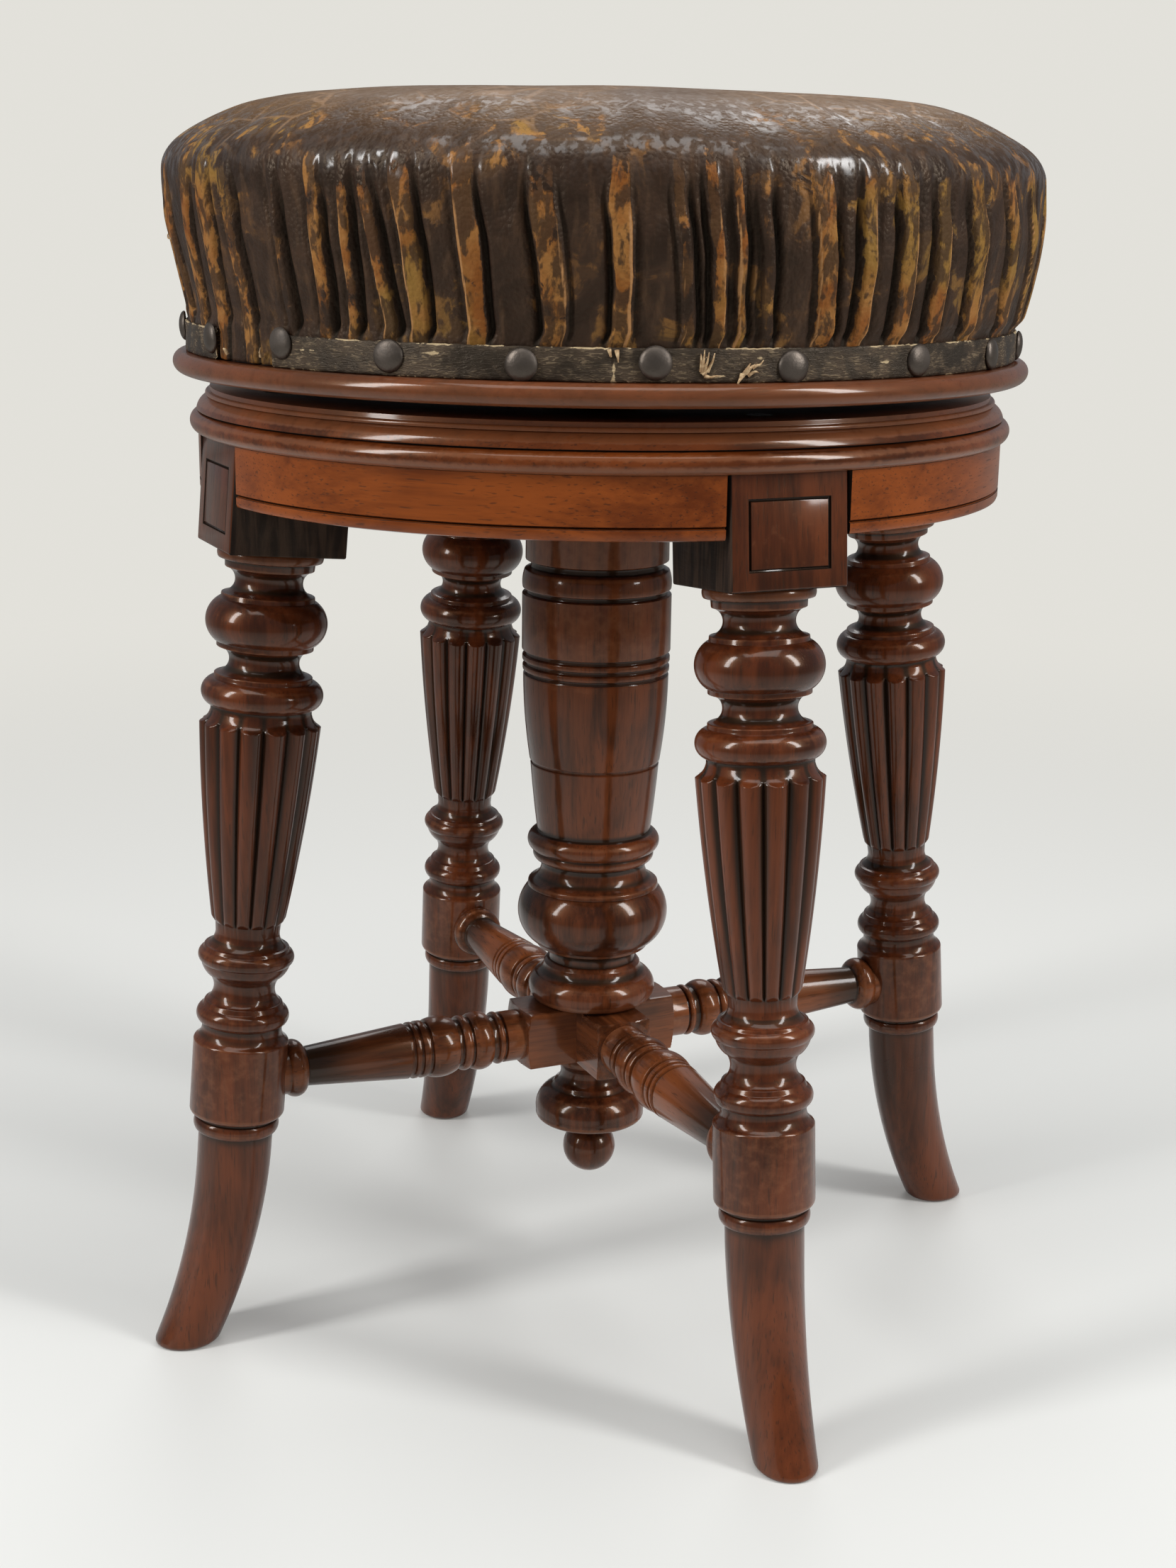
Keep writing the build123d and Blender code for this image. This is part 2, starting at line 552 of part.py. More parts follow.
with BuildPart() as spindle_nut:
    with Locations((0, 0, frame_top)):
        Cylinder(nut_plate_radius, nut_plate_thickness,
                 align=(Align.CENTER, Align.CENTER, Align.MAX))
        Cylinder(nut_barrel_radius, nut_plate_thickness + nut_barrel_length,
                 align=(Align.CENTER, Align.CENTER, Align.MAX))
    chamfer(spindle_nut.edges().filter_by(GeomType.CIRCLE).group_by(Axis.Z)[0], metal_edge)
    Cylinder(screw_radius + thread_clearance, 3 * frame_top, mode=Mode.SUBTRACT)
    add(thread_ridge(screw_radius + thread_clearance, screw_radius - thread_depth + thread_clearance,
                     screw_lead - thread_crest - 2 * thread_clearance,
                     screw_lead - thread_root - 2 * thread_clearance,
                     nut_thread_foot, frame_top - thread_runout - nut_thread_foot))
    place_screws(wood_screw_hole, frame_screw_places, nut_screw_circle, nut_screw_count, 45,
                 Mode.SUBTRACT)
save(spindle_nut.part, "spindle_nut")

with BuildPart() as seat_flange:
    with Locations((0, 0, seat_foot)):
        Cylinder(flange_radius, flange_thickness, align=(Align.CENTER, Align.CENTER, Align.MIN))
        Cylinder(flange_boss_radius, flange_thickness + flange_boss_height,
                 align=(Align.CENTER, Align.CENTER, Align.MIN))
    chamfer(seat_flange.edges().filter_by(GeomType.CIRCLE).group_by(Axis.Z)[0], metal_edge)
    Cylinder(screw_stub_radius, 3 * frame_top, mode=Mode.SUBTRACT)
    place_screws(wood_screw_hole, flange_screw_places, flange_screw_circle, flange_screw_count, 0,
                 Mode.SUBTRACT)
save(seat_flange.part, "seat_flange")

with BuildPart() as thrust_washer:
    with Locations((0, 0, seat_foot - running_clearance)):
        washer_hole = screw_radius + washer_clearance
        Cylinder(washer_hole + washer_width, washer_thickness,
                 align=(Align.CENTER, Align.CENTER, Align.MAX))
        Cylinder(washer_hole, washer_thickness,
                 align=(Align.CENTER, Align.CENTER, Align.MAX), mode=Mode.SUBTRACT)
save(thrust_washer.part, "thrust_washer")

# ---- Seat board: a turned disc with a half-round edge, let in for the flange ----------------------

seat_bead_centre = seat_board_radius - seat_bead_thickness / 2

with BuildPart() as seat_board:
    with BuildSketch(Plane.XZ):
        with BuildLine():
            draw_turning([
                (seat_board_top, seat_core_radius, 0), (seat_bead_top, seat_core_radius, 0),
                (seat_bead_top, seat_bead_centre, seat_bead_thickness / 2),
                (seat_foot, seat_bead_centre, 0),
            ])
        make_face()
    revolve(axis=Axis.Z)
    for radius, depth in ((flange_radius, flange_thickness),
                          (flange_boss_radius, flange_thickness + flange_boss_height)):
        with Locations((0, 0, seat_foot)):
            Cylinder(radius + joint_clearance, depth,
                     align=(Align.CENTER, Align.CENTER, Align.MIN), mode=Mode.SUBTRACT)
    place_screws(wood_screw_hole, flange_screw_places, flange_screw_circle, flange_screw_count, 0,
                 Mode.SUBTRACT)
save(seat_board.part, "seat_board")

# ---- Cushion: leather drawn down over the stuffing, and a nailed band round its foot ---------------


def draw_cushion(thickness, foot):
    """Half profile of the cushion, from the crown down to a height, this far inside its surface."""
    crown = seat_foot + crown_height - thickness
    edge_height = seat_foot + cushion_edge_height - thickness / 2
    edge_radius = leather_radius - cushion_edge_inset - thickness
    crown_rise = crown - edge_height
    crown_radius = (edge_radius**2 + crown_rise**2) / (2 * crown_rise)
    crown_bulge = crown_radius * (1 - cos(asin(edge_radius / crown_radius) / 2))
    draw_turning([
        (crown, 0, crown_bulge), (edge_height, edge_radius, 4.6),
        (seat_foot + cushion_side_height, leather_radius + cushion_side_swell - thickness, 1.2),
        (seat_foot + cushion_waist_height, leather_radius + cushion_waist_swell - thickness, 0),
        (banding_top, leather_radius - thickness, 0), (foot, leather_radius - thickness, 0),
    ])


with BuildPart() as leather_cover:
    with BuildSketch(Plane.XZ):
        with BuildLine():
            draw_cushion(0, banding_foot)
        make_face()
    revolve(axis=Axis.Z)
    with BuildSketch(Plane.XZ):
        with BuildLine():
            draw_cushion(leather_thickness, seat_foot)
        make_face()
    revolve(axis=Axis.Z, mode=Mode.SUBTRACT)
save(leather_cover.part, "leather_cover")

with BuildPart() as seat_stuffing:
    with BuildSketch(Plane.XZ):
        with BuildLine():
            draw_cushion(leather_thickness, seat_foot)
        make_face()
    revolve(axis=Axis.Z)
    with Locations((0, 0, seat_board_top)):
        Cylinder(2 * seat_board_radius, 2 * seat_board_thickness,
                 align=(Align.CENTER, Align.CENTER, Align.MAX), mode=Mode.SUBTRACT)
save(seat_stuffing.part, "seat_stuffing")

with BuildPart() as edge_banding:
    with BuildSketch(Plane.XZ.rotated((0, 0, banding_start))):
        with Locations((leather_radius + banding_thickness / 2, banding_middle)):
            Rectangle(banding_thickness, banding_height)
    revolve(axis=Axis.Z, revolution_arc=360 - (banding_start - banding_end))
save(edge_banding.part, "edge_banding")

with BuildPart() as nail:  # points along -Z, with the back of its head at the origin
    with BuildSketch(Plane.XZ):
        with BuildLine():
            dome_radius = (nail_head_radius**2 + nail_head_height**2) / (2 * nail_head_height)
            dome_bulge = dome_radius * (1 - cos(asin(nail_head_radius / dome_radius) / 2))
            draw_turning([
                (nail_head_height, 0, dome_bulge), (0, nail_head_radius, 0),
                (0, nail_shank_radius, 0), (3 * nail_shank_radius - nail_shank_length,
                                            nail_shank_radius, 0),
                (-nail_shank_length, 0, 0),
            ])
        make_face()
    revolve(axis=Axis.Z)

with BuildPart() as banding_nails:
    for azimuth, rise in all_nail_places:
        c, s = cos(radians(azimuth)), sin(radians(azimuth))
        with Locations(Plane(origin=(nail_seat * c, nail_seat * s, banding_middle + rise),
                             x_dir=(0, 0, 1), z_dir=(c, s, 0))):
            add(nail.part)
save(banding_nails.part, "banding_nails")
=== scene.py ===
import random
from math import asin, atan, atan2, ceil, cos, exp, pi, radians, sin, sqrt, tan, tau

import bmesh
import bpy
from mathutils import Matrix, Vector, noise


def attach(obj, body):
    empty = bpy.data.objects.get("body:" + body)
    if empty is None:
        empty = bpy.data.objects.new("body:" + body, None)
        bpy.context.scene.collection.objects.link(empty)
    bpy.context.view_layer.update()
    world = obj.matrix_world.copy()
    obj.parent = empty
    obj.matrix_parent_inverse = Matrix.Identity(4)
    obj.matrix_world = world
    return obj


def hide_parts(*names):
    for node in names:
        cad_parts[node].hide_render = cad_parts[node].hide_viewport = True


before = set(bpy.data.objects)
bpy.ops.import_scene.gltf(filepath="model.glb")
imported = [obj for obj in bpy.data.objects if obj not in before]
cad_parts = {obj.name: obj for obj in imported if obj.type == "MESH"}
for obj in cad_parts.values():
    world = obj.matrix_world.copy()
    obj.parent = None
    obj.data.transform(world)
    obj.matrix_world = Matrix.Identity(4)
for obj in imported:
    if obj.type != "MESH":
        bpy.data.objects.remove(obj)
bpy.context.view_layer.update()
scene = bpy.context.scene
scene.view_settings.view_transform = "Standard"

# ---- Camera ----------------------------------------------------------------------
# A portrait view from just above seat height, turned a little anticlockwise, as the stool was
# photographed: the front leg stands right of the middle.

EYE = Vector((-0.38224, -0.83524, 0.46498))
HEADING, DOWNWARDS, TILT = radians(65.573), radians(14.793), radians(0.790)
FOCAL_LENGTH, PICTURE_HEIGHT = 51.12, 36.0

forward = Vector((cos(HEADING) * cos(DOWNWARDS), sin(HEADING) * cos(DOWNWARDS), -sin(DOWNWARDS)))
sideways = forward.cross(Vector((0, 0, 1))).normalized()
upwards = sideways.cross(forward)
picture_right = cos(TILT) * sideways + sin(TILT) * upwards
picture_up = cos(TILT) * upwards - sin(TILT) * sideways

camera_data = bpy.data.cameras.new("camera")
camera_data.sensor_fit = "VERTICAL"
camera_data.sensor_height = PICTURE_HEIGHT
camera_data.lens = FOCAL_LENGTH
camera = bpy.data.objects.new("camera", camera_data)
camera.matrix_world = (Matrix.Translation(EYE)
                       @ Matrix((picture_right, picture_up, -forward)).transposed().to_4x4())
scene.collection.objects.link(camera)
scene.camera = camera

# ---- Studio ----------------------------------------------------------------------
# A white room with a tall window on each side of the viewer and a soft sheet of light overhead. The
# floor is a pale sheet that runs on into the backdrop and keeps the stool's shadow.

ROOM_COLOR, ROOM_STRENGTH = (0.93, 0.95, 1.0), 0.22
BACKDROP_COLOR = (0.765, 0.752, 0.705)
FLOOR_COLOR, FLOOR_RADIUS = (0.74, 0.745, 0.72), 9.0
# How far from the stool the floor begins and ends its fade into the backdrop.
FADE_START, FADE_END = 0.20, 1.6
MIDDLE_HEIGHT = 0.25


def feed(socket, value):
    """Link a node's output to an input, or set the input to a value or an opaque colour."""
    if isinstance(value, bpy.types.NodeSocket):
        socket.id_data.links.new(value, socket)
    elif socket.type == "RGBA":
        socket.default_value = (*value, 1)
    else:
        socket.default_value = value


def set_sockets(item, **sockets):
    """Feed a node's inputs by their names, in which _ stands for a space."""
    for name, value in sockets.items():
        feed(item.inputs[name.replace("_", " ")], value)


def node(tree, kind, settings=None, **sockets):
    """Add a shader node with its settings and what feeds its inputs."""
    item = tree.nodes.new("ShaderNode" + kind)
    for name, value in (settings or {}).items():
        setattr(item, name, value)
    set_sockets(item, **sockets)
    return item


def level(value, low, high, to_low=0.0, to_high=1.0):
    """Smooth step of a value from low to high; low may be the larger."""
    return node(value.id_data, "MapRange", {"interpolation_type": "SMOOTHSTEP"}, Value=value,
                From_Min=low, From_Max=high, To_Min=to_low, To_Max=to_high).outputs["Result"]


def mix_shaders(factor, under, over):
    """Lay one shader over another."""
    item = node(factor.id_data, "MixShader", Fac=factor)
    feed(item.inputs[1], under)
    feed(item.inputs[2], over)
    return item.outputs["Shader"]


def new_object(name, bm):
    """Put a finished mesh into the scene."""
    mesh = bpy.data.meshes.new(name)
    bm.to_mesh(mesh)
    bm.free()
    item = bpy.data.objects.new(name, mesh)
    scene.collection.objects.link(item)
    return item


def soft_box(name, azimuth, elevation, distance, width, height, power):
    """Rectangular lamp that looks at the middle of the stool."""
    data = bpy.data.lights.new(name, "AREA")
    data.shape, data.size, data.size_y = "RECTANGLE", width, height
    data.energy = power
    lamp = bpy.data.objects.new(name, data)
    reach = distance * cos(radians(elevation))
    place = Vector((reach * cos(radians(azimuth)), reach * sin(radians(azimuth)),
                    MIDDLE_HEIGHT + distance * sin(radians(elevation))))
    aim = (Vector((0, 0, MIDDLE_HEIGHT)) - place).to_track_quat("-Z", "Y")
    lamp.matrix_world = Matrix.Translation(place) @ aim.to_matrix().to_4x4()
    scene.collection.objects.link(lamp)


soft_box("left_window", 184, 30, 2.2, 0.34, 1.5, 29)
soft_box("right_window", 310, 32, 2.2, 0.34, 1.5, 31)
soft_box("overhead_sheet", -114, 78, 1.9, 1.6, 1.3, 18)
soft_box("back_window", 62, 40, 2.4, 1.2, 1.2, 11)

world = bpy.data.worlds.new("room")
world.use_nodes = True
tree = world.node_tree
tree.nodes.clear()
room = node(tree, "Background", Color=ROOM_COLOR, Strength=ROOM_STRENGTH)
backdrop = node(tree, "Background", Color=BACKDROP_COLOR)
in_view = node(tree, "LightPath").outputs["Is Camera Ray"]
node(tree, "OutputWorld", Surface=mix_shaders(in_view, room.outputs["Background"],
                                              backdrop.outputs["Background"]))
scene.world = world

bm = bmesh.new()
bmesh.ops.create_circle(bm, cap_ends=True, radius=FLOOR_RADIUS, segments=96)
floor_sheet = new_object("floor", bm)
pale_floor = bpy.data.materials.new("pale_floor")
pale_floor.use_nodes = True
tree = pale_floor.node_tree
sheet = tree.nodes["Principled BSDF"]
set_sockets(sheet, Base_Color=FLOOR_COLOR, Roughness=0.55)
# The far floor shows the backdrop's colour, and lights the stool less than it shows.
in_view = node(tree, "LightPath").outputs["Is Camera Ray"]
far = node(tree, "Emission", Color=BACKDROP_COLOR, Strength=level(in_view, 0, 1, 0.30))
place = node(tree, "NewGeometry").outputs["Position"]
distance = node(tree, "VectorMath", {"operation": "LENGTH"}, Vector=place).outputs["Value"]
faded = mix_shaders(level(distance, FADE_START, FADE_END, 0.12), sheet.outputs["BSDF"],
                    far.outputs["Emission"])
set_sockets(tree.nodes["Material Output"], Surface=faded)
floor_sheet.data.materials.append(pale_floor)

# ---- Legs ------------------------------------------------------------------------
# Four mahogany legs, each turned from one square length: a block with a scribed panel, a reel and a
# ball, a reeded taper, a vase, a plain drum for the stretcher, and a foot steamed outwards.

MM = 0.001
FRAME_TOP, FRAME_FOOT = 391.0, 373.2
RAIL_RADIUS, RAIL_HEIGHT = 161.8, 22.7
LEAN = radians(4.95)
BLOCK_WIDTH, BLOCK_HEIGHT, BLOCK_SET_BACK = 46.4, 42.8, 1.5
BLOCK_OVERLAP, BLOCK_ARRIS = 0.3, 0.8
PANEL_MARGIN, PANEL_HEIGHT, PANEL_DROP = 7.0, 25.0, 23.2
# The scribed line round the panel: each step's width, its rise, and how far wax and painted shade
# fill it.
PANEL_STEPS = [(6.6, 0, 0.1), (0.25, 0, 0.9), (0.2, -0.9, 1.6), (0.4, -0.2, 1.6), (0.45, 0.9, 0.6),
               (0.3, 0.1, -0.3)]
BLOCK_FOOT = FRAME_FOOT / cos(LEAN) - BLOCK_HEIGHT
CROSS_HEIGHT = 113.8
SOCKET_HEIGHT = CROSS_HEIGHT / cos(LEAN)
NECK_FOOT, REED_END = BLOCK_FOOT - 64.4, SOCKET_HEIGHT + 66.5
REED_COUNT, REED_STEPS, REED_DEPTH, REED_ROUNDNESS = 14, 12, 3.0, 0.9
REED_TOP, REED_MIDDLE, REED_FOOT = 24.3, 20.6, 14.6
# Rings between the rounded ends of the reeds: how far they keep from each end, and their spacing.
RINGS_UNDER_NECK, RINGS_OVER_END, RING_SPACING = 8.2, 12.5, 8.0
FOOT_BEND_TOP, FOOT_KICK, ANKLE_RADIUS, FOOT_SOLE_RADIUS = 84.0, 15.5, 15.1, 11.7
FOOT_STEPS = 24
SOLE_RINGS = (0, 0.2, 0.6, 1.2, 1.8, 2.4)
SOLE_ROUND = SOLE_RINGS[-1]
LEG_FOOT_RADIUS = (RAIL_RADIUS - BLOCK_SET_BACK - BLOCK_WIDTH / 2 / cos(LEAN)
                   + (FRAME_FOOT - RAIL_HEIGHT / 2) * tan(LEAN))
LEGS = {"leg_front": -90, "leg_left": 180, "leg_back": 90, "leg_right": 0}
NO_LIMIT = 99.0


def turned_outline(stations, lift=0.0, step=0.7):
    """Points (radius, height) down a turning. A station's third number bows what follows it."""
    points = []
    for (z0, r0, *bows), (z1, r1, *_) in zip(stations, stations[1:]):
        start, end = Vector((r0, z0 + lift)), Vector((r1, z1 + lift))
        points.append(start)
        if not bows:
            continue
        bow, chord = bows[0], (end - start).length
        along = (end - start).normalized()
        outwards = Vector((-along.y, along.x))
        half_turn = 2 * atan(2 * bow / chord)
        bend = chord / (2 * sin(half_turn))
        centre = (start + end) / 2 - outwards * (bend - bow)
        count = max(4, ceil(abs(2 * bend * half_turn) / step))
        for index in range(1, count):
            turn = half_turn * (2 * index / count - 1)
            points.append(centre + bend * (outwards * cos(turn) + along * sin(turn)))
    points.append(Vector((stations[-1][1], stations[-1][0] + lift)))
    return points


def softened(points, radius=0.3, least_turn=radians(24)):
    """The outline with its sharp corners rounded by handling and polish."""
    result = [points[0]]
    for before, corner, after in zip(points, points[1:], points[2:]):
        arriving, leaving = corner - before, after - corner
        if arriving.length < 1e-6 or leaving.length < 1e-6 or arriving.angle(leaving) < least_turn:
            result.append(corner)
            continue
        back = min(radius, 0.35 * arriving.length)
        ahead = min(radius, 0.35 * leaving.length)
        first, last = corner - arriving.normalized() * back, corner + leaving.normalized() * ahead
        result += [first, (first + last) / 4 + corner / 2, last]
    return result + [points[-1]]


def hollows(points, reach=2.6, depth=1.6):
    """How far each point of an outline lies in a hollow (1) or on a crest (-1)."""
    values = []
    for point in points:
        near = [q.x for q in points if abs(q.y - point.y) < reach]
        middle = (max(near) + min(near)) / 2
        values.append(max(-1.0, min(1.0, (middle - point.x) / depth)))
    return values


def spin_outline(bm, points, steps, closed=False):
    """Turn an outline (millimetres) round the Z axis, in metres, with its hollows kept on it."""
    hollow = bm.verts.layers.float.get("hollow") or bm.verts.layers.float.new("hollow")
    verts = []
    for point, value in zip(points, hollows(points)):
        vert = bm.verts.new((max(point.x, 0.0) * MM, 0, point.y * MM))
        vert[hollow] = value
        verts.append(vert)
    edges = [bm.edges.new(pair) for pair in zip(verts, verts[1:])]
    if closed:
        edges.append(bm.edges.new((verts[-1], verts[0])))
    bmesh.ops.spin(bm, geom=verts + edges, cent=(0, 0, 0), axis=(0, 0, 1), angle=tau, steps=steps,
                   use_merge=True)


def weld(bm):
    """Merge what meets and turn the faces outwards."""
    bmesh.ops.remove_doubles(bm, verts=bm.verts, dist=1e-6)
    bmesh.ops.recalc_face_normals(bm, faces=bm.faces)


def finish_piece(name, bm, materials, body, smooth_angle=38, replaced=None):
    """Shade a piece and hand it to its body, in place of the part of its name or of those named."""
    replaced = (name,) if replaced is None else replaced
    weld(bm)
    piece = new_object("finished_" + name if replaced else name, bm)
    piece.data.shade_smooth()
    piece.data.set_sharp_from_angle(angle=radians(smooth_angle))
    for material in materials:
        piece.data.materials.append(material)
    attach(piece, body)
    if replaced:
        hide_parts(*replaced)
    return piece


UPPER_TURNING = [
    (0.5, 20.0), (0, 20.2, 0.5), (-4.0, 20.2), (-4.5, 17.6),
    (-7.5, 17.4, -4.3), (-17.6, 17.6), (-17.7, 18.2), (-19.6, 18.4),
    (-19.7, 19.0, 4.5), (-36.8, 19.6), (-36.9, 19.0), (-38.8, 19.0),
    (-38.9, 18.5, -4.9), (-49.4, 18.8), (-49.6, 19.3), (-51.3, 19.3),
    (-51.4, 20.2, 3.7), (-62.3, 20.4), (-62.4, 19.9), (-64.4, 19.9),
]
REED_HEAD = [(0, 19.9), (-1.0, 20.2, -0.9), (-5.4, 24.9), (-8.8, 28.0)]
REED_TAIL = [(11.3, 20.0), (7.3, 16.6, 0.7), (0, 13.2)]
LOWER_TURNING = [
    (66.5, 13.2), (62.5, 12.9, -0.8), (56.8, 15.8), (56.7, 17.0),
    (55.3, 17.4), (55.1, 17.9, 1.4), (49.6, 18.0, 0.4), (44.6, 15.2),
    (44.4, 14.7, -2.4), (33.4, 14.8), (33.2, 15.6), (31.2, 16.4, 2.1),
    (24.0, 16.9), (23.8, 16.3), (22.4, 16.2, -0.9), (17.0, 18.9),
    (16.4, 19.3), (-12.8, 19.3, 0.5), (-15.4, 17.8), (-15.6, 16.1),
    (-16.8, 16.1), (-17.0, 16.7, 0.8), (-22.2, 16.5), (-22.6, 15.1),
    (-23.4, 15.1),
]


def outline_radius(points, height):
    """Radius of an outline at a height, or no limit above and below it."""
    for upper, lower in zip(points, points[1:]):
        if lower.y <= height <= upper.y and upper.y > lower.y:
            share = (upper.y - height) / (upper.y - lower.y)
            return upper.x + (lower.x - upper.x) * share
    nearest = min((points[0], points[-1]), key=lambda point: abs(point.y - height))
    return nearest.x if abs(nearest.y - height) < 0.05 else NO_LIMIT


reed_head, reed_tail = turned_outline(REED_HEAD, NECK_FOOT), turned_outline(REED_TAIL, REED_END)


def neck_radius(height):
    """Radius of the necks that the reeds are rounded into."""
    return min(outline_radius(reed_head, height), outline_radius(reed_tail, height))


def reed_crest(height):
    """Radius over the reeds, which taper with a slight swell."""
    share = (NECK_FOOT - height) / (NECK_FOOT - REED_END)
    return (REED_TOP * (1 - share) * (1 - 2 * share) + REED_MIDDLE * 4 * share * (1 - share)
            + REED_FOOT * share * (2 * share - 1))


neck_limits = {}


def reeded_radius(height, angle):
    """Radius of the reeded taper, rounded into both its necks, and how deep the groove is."""
    ring = round(height, 2)
    if ring not in neck_limits:
        neck_limits[ring] = neck_radius(height)
    crest = reed_crest(height)
    across = (angle / tau * REED_COUNT) % 1.0
    rise = (1 - (2 * across - 1)**2)**REED_ROUNDNESS
    radius = crest - REED_DEPTH * crest / REED_TOP * (1 - rise)
    return min(radius, neck_limits[ring]), 1 - rise


def leg_outline():
    """Outline of the whole turned leg, upright, from under its block to below the floor."""
    height = NECK_FOOT - RINGS_UNDER_NECK
    rings = [reed_head[0].y - 0.01] + [p.y for p in reed_head[1:] if p.y > height]
    while height > REED_END + RINGS_OVER_END:
        rings.append(height)
        height -= RING_SPACING
    rings += [p.y for p in reed_tail if p.y > REED_END]
    rings = sorted(set(round(height, 3) for height in rings), reverse=True)
    reeds = [Vector((min(reed_crest(height), neck_radius(height)), height)) for height in rings]
    foot_top = SOCKET_HEIGHT + LOWER_TURNING[-1][0]
    foot = [Vector((ANKLE_RADIUS, height)) for height in (foot_top - 4, FOOT_BEND_TOP)]
    for step in range(1, FOOT_STEPS + 3):
        share = step / FOOT_STEPS
        foot.append(Vector((ANKLE_RADIUS + (FOOT_SOLE_RADIUS - ANKLE_RADIUS) * (share / 1.12)**1.3,
                            FOOT_BEND_TOP * (1 - share))))
    foot.append(Vector((0, foot[-1].y)))
    upper = softened(turned_outline(UPPER_TURNING, BLOCK_FOOT))
    lower = softened(turned_outline(LOWER_TURNING, SOCKET_HEIGHT))
    return [Vector((0, upper[0].y))] + upper + reeds + lower + foot


def shape_turning():
    """The leg's turning, upright, with its reeds cut and its foot bent out towards +X."""
    bm = bmesh.new()
    spin_outline(bm, leg_outline(), REED_COUNT * REED_STEPS)
    hollow = bm.verts.layers.float["hollow"]
    bend = (FOOT_BEND_TOP**2 + FOOT_KICK**2) / (2 * FOOT_KICK)
    for vert in bm.verts:
        height, radius = vert.co.z / MM, vert.co.xy.length / MM
        if REED_END < height < NECK_FOOT and radius > 1:
            new_radius, groove = reeded_radius(height, atan2(vert.co.y, vert.co.x))
            vert.co.xy *= new_radius / radius
            # The grooves between the reeds count as hollows, which wax and painted shade darken.
            vert[hollow] = 1.35 * groove - 0.22
        elif height < FOOT_BEND_TOP:
            turn = asin(min(1.0, (FOOT_BEND_TOP - height) / bend))
            out, side = vert.co.x / MM, vert.co.y
            vert.co = ((bend * (1 - cos(turn)) + out * cos(turn)) * MM, side,
                       (FOOT_BEND_TOP - bend * sin(turn) + out * sin(turn)) * MM)
    return bm


def cut_away(bm, place, normal, dist=1e-6, **options):
    """Cut a whole mesh along a plane; returns the verts and the edges of the cut."""
    cut = bmesh.ops.bisect_plane(bm, geom=bm.verts[:] + bm.edges[:] + bm.faces[:], dist=dist,
                                 plane_co=place, plane_no=normal, **options)["geom_cut"]
    return ([item for item in cut if isinstance(item, bmesh.types.BMVert)],
            [item for item in cut if isinstance(item, bmesh.types.BMEdge)])


def finish_sole(bm):
    """Cut the leaning leg's foot flat on the floor and round the edge of its sole."""
    floor_normal = Vector((sin(LEAN), 0, cos(LEAN)))
    centres = []
    for height in SOLE_RINGS:
        ring, rim = cut_away(bm, floor_normal * height * MM, floor_normal, clear_inner=height == 0)
        centres.append(sum((vert.co for vert in ring), Vector()) / len(ring))
        if height == 0:
            sole_rim = rim
    bmesh.ops.contextual_create(bm, geom=sole_rim)
    for vert in bm.verts:
        height = max(0.0, vert.co.dot(floor_normal) / MM)
        if height < SOLE_ROUND:
            inset = SOLE_ROUND - sqrt(SOLE_ROUND**2 - (SOLE_ROUND - height)**2)
            outwards = vert.co - centres[0].lerp(centres[-1], height / SOLE_ROUND)
            outwards -= floor_normal * outwards.dot(floor_normal)
            vert.co -= outwards.normalized() * inset * MM


def add_block(bm):
    """The square block at the leg's head, with its scribed panel on the outer side, +X."""
    hollow = bm.verts.layers.float["hollow"]
    block = bmesh.ops.create_cube(bm, size=1.0)["verts"]
    for vert in block:
        side = Vector((vert.co.x * BLOCK_WIDTH, vert.co.y * BLOCK_WIDTH))
        top = FRAME_FOOT / cos(LEAN) + BLOCK_OVERLAP - side.x * tan(LEAN)
        vert.co = Vector((side.x, side.y, BLOCK_FOOT if vert.co.z < 0 else top)) * MM
        vert[hollow] = -0.25
    outer = max({face for vert in block for face in vert.link_faces},
                key=lambda face: face.calc_center_median().x)
    panel_line = BLOCK_FOOT + BLOCK_HEIGHT - PANEL_DROP + PANEL_HEIGHT / 2 + PANEL_MARGIN
    bmesh.ops.bisect_plane(bm, geom=[outer] + list(outer.edges) + list(outer.verts), dist=1e-7,
                           plane_co=(0, 0, panel_line * MM), plane_no=(0, 0, 1))
    panel = min((face for face in bm.faces
                 if all(abs(vert.co.x - BLOCK_WIDTH / 2 * MM) < 1e-6 for vert in face.verts)),
                key=lambda face: face.calc_center_median().z)
    panel.normal_update()
    outwards = 1 if panel.normal.x > 0 else -1
    for width, rise, wax in PANEL_STEPS:
        bmesh.ops.inset_individual(bm, faces=[panel], thickness=width * MM, use_even_offset=True,
                                   depth=outwards * rise * MM)
        for vert in panel.verts:
            vert[hollow] = wax
    for face in {face for vert in block for face in vert.link_faces}:
        if face.calc_center_median().x < (BLOCK_WIDTH / 2 - 0.5) * MM:
            face.material_index = 1
    arrises = [edge for edge in {edge for vert in block for edge in vert.link_edges}
               if abs((edge.verts[0].co - edge.verts[1].co).normalized().z) > 0.98
               or max(vert.co.z for vert in edge.verts) < (BLOCK_FOOT + 0.1) * MM]
    bmesh.ops.bevel(bm, geom=arrises, offset=BLOCK_ARRIS * MM, segments=3, profile=0.5,
                    affect="EDGES", material=-1)


def turned(degrees, axis):
    """Turn about an axis by degrees."""
    return Matrix.Rotation(radians(degrees), 4, axis)


def moved(x, y, z):
    """Shift by millimetres."""
    return Matrix.Translation((x * MM, y * MM, z * MM))


def combine(operation, first, others):
    """A row of math nodes, each on the result so far and the next value."""
    for other in others:
        item = node(first.id_data, "Math", {"operation": operation})
        feed(item.inputs[0], first)
        feed(item.inputs[1], other)
        first = item.outputs["Value"]
    return first


def plus(first, *others):
    """Sum of an output and other values."""
    return combine("ADD", first, others)


def times(first, *others):
    """Product of an output and other values."""
    return combine("MULTIPLY", first, others)


def swing(noise_value, amount):
    """Noise turned into a swing about nought."""
    return times(plus(noise_value, -0.5), amount)


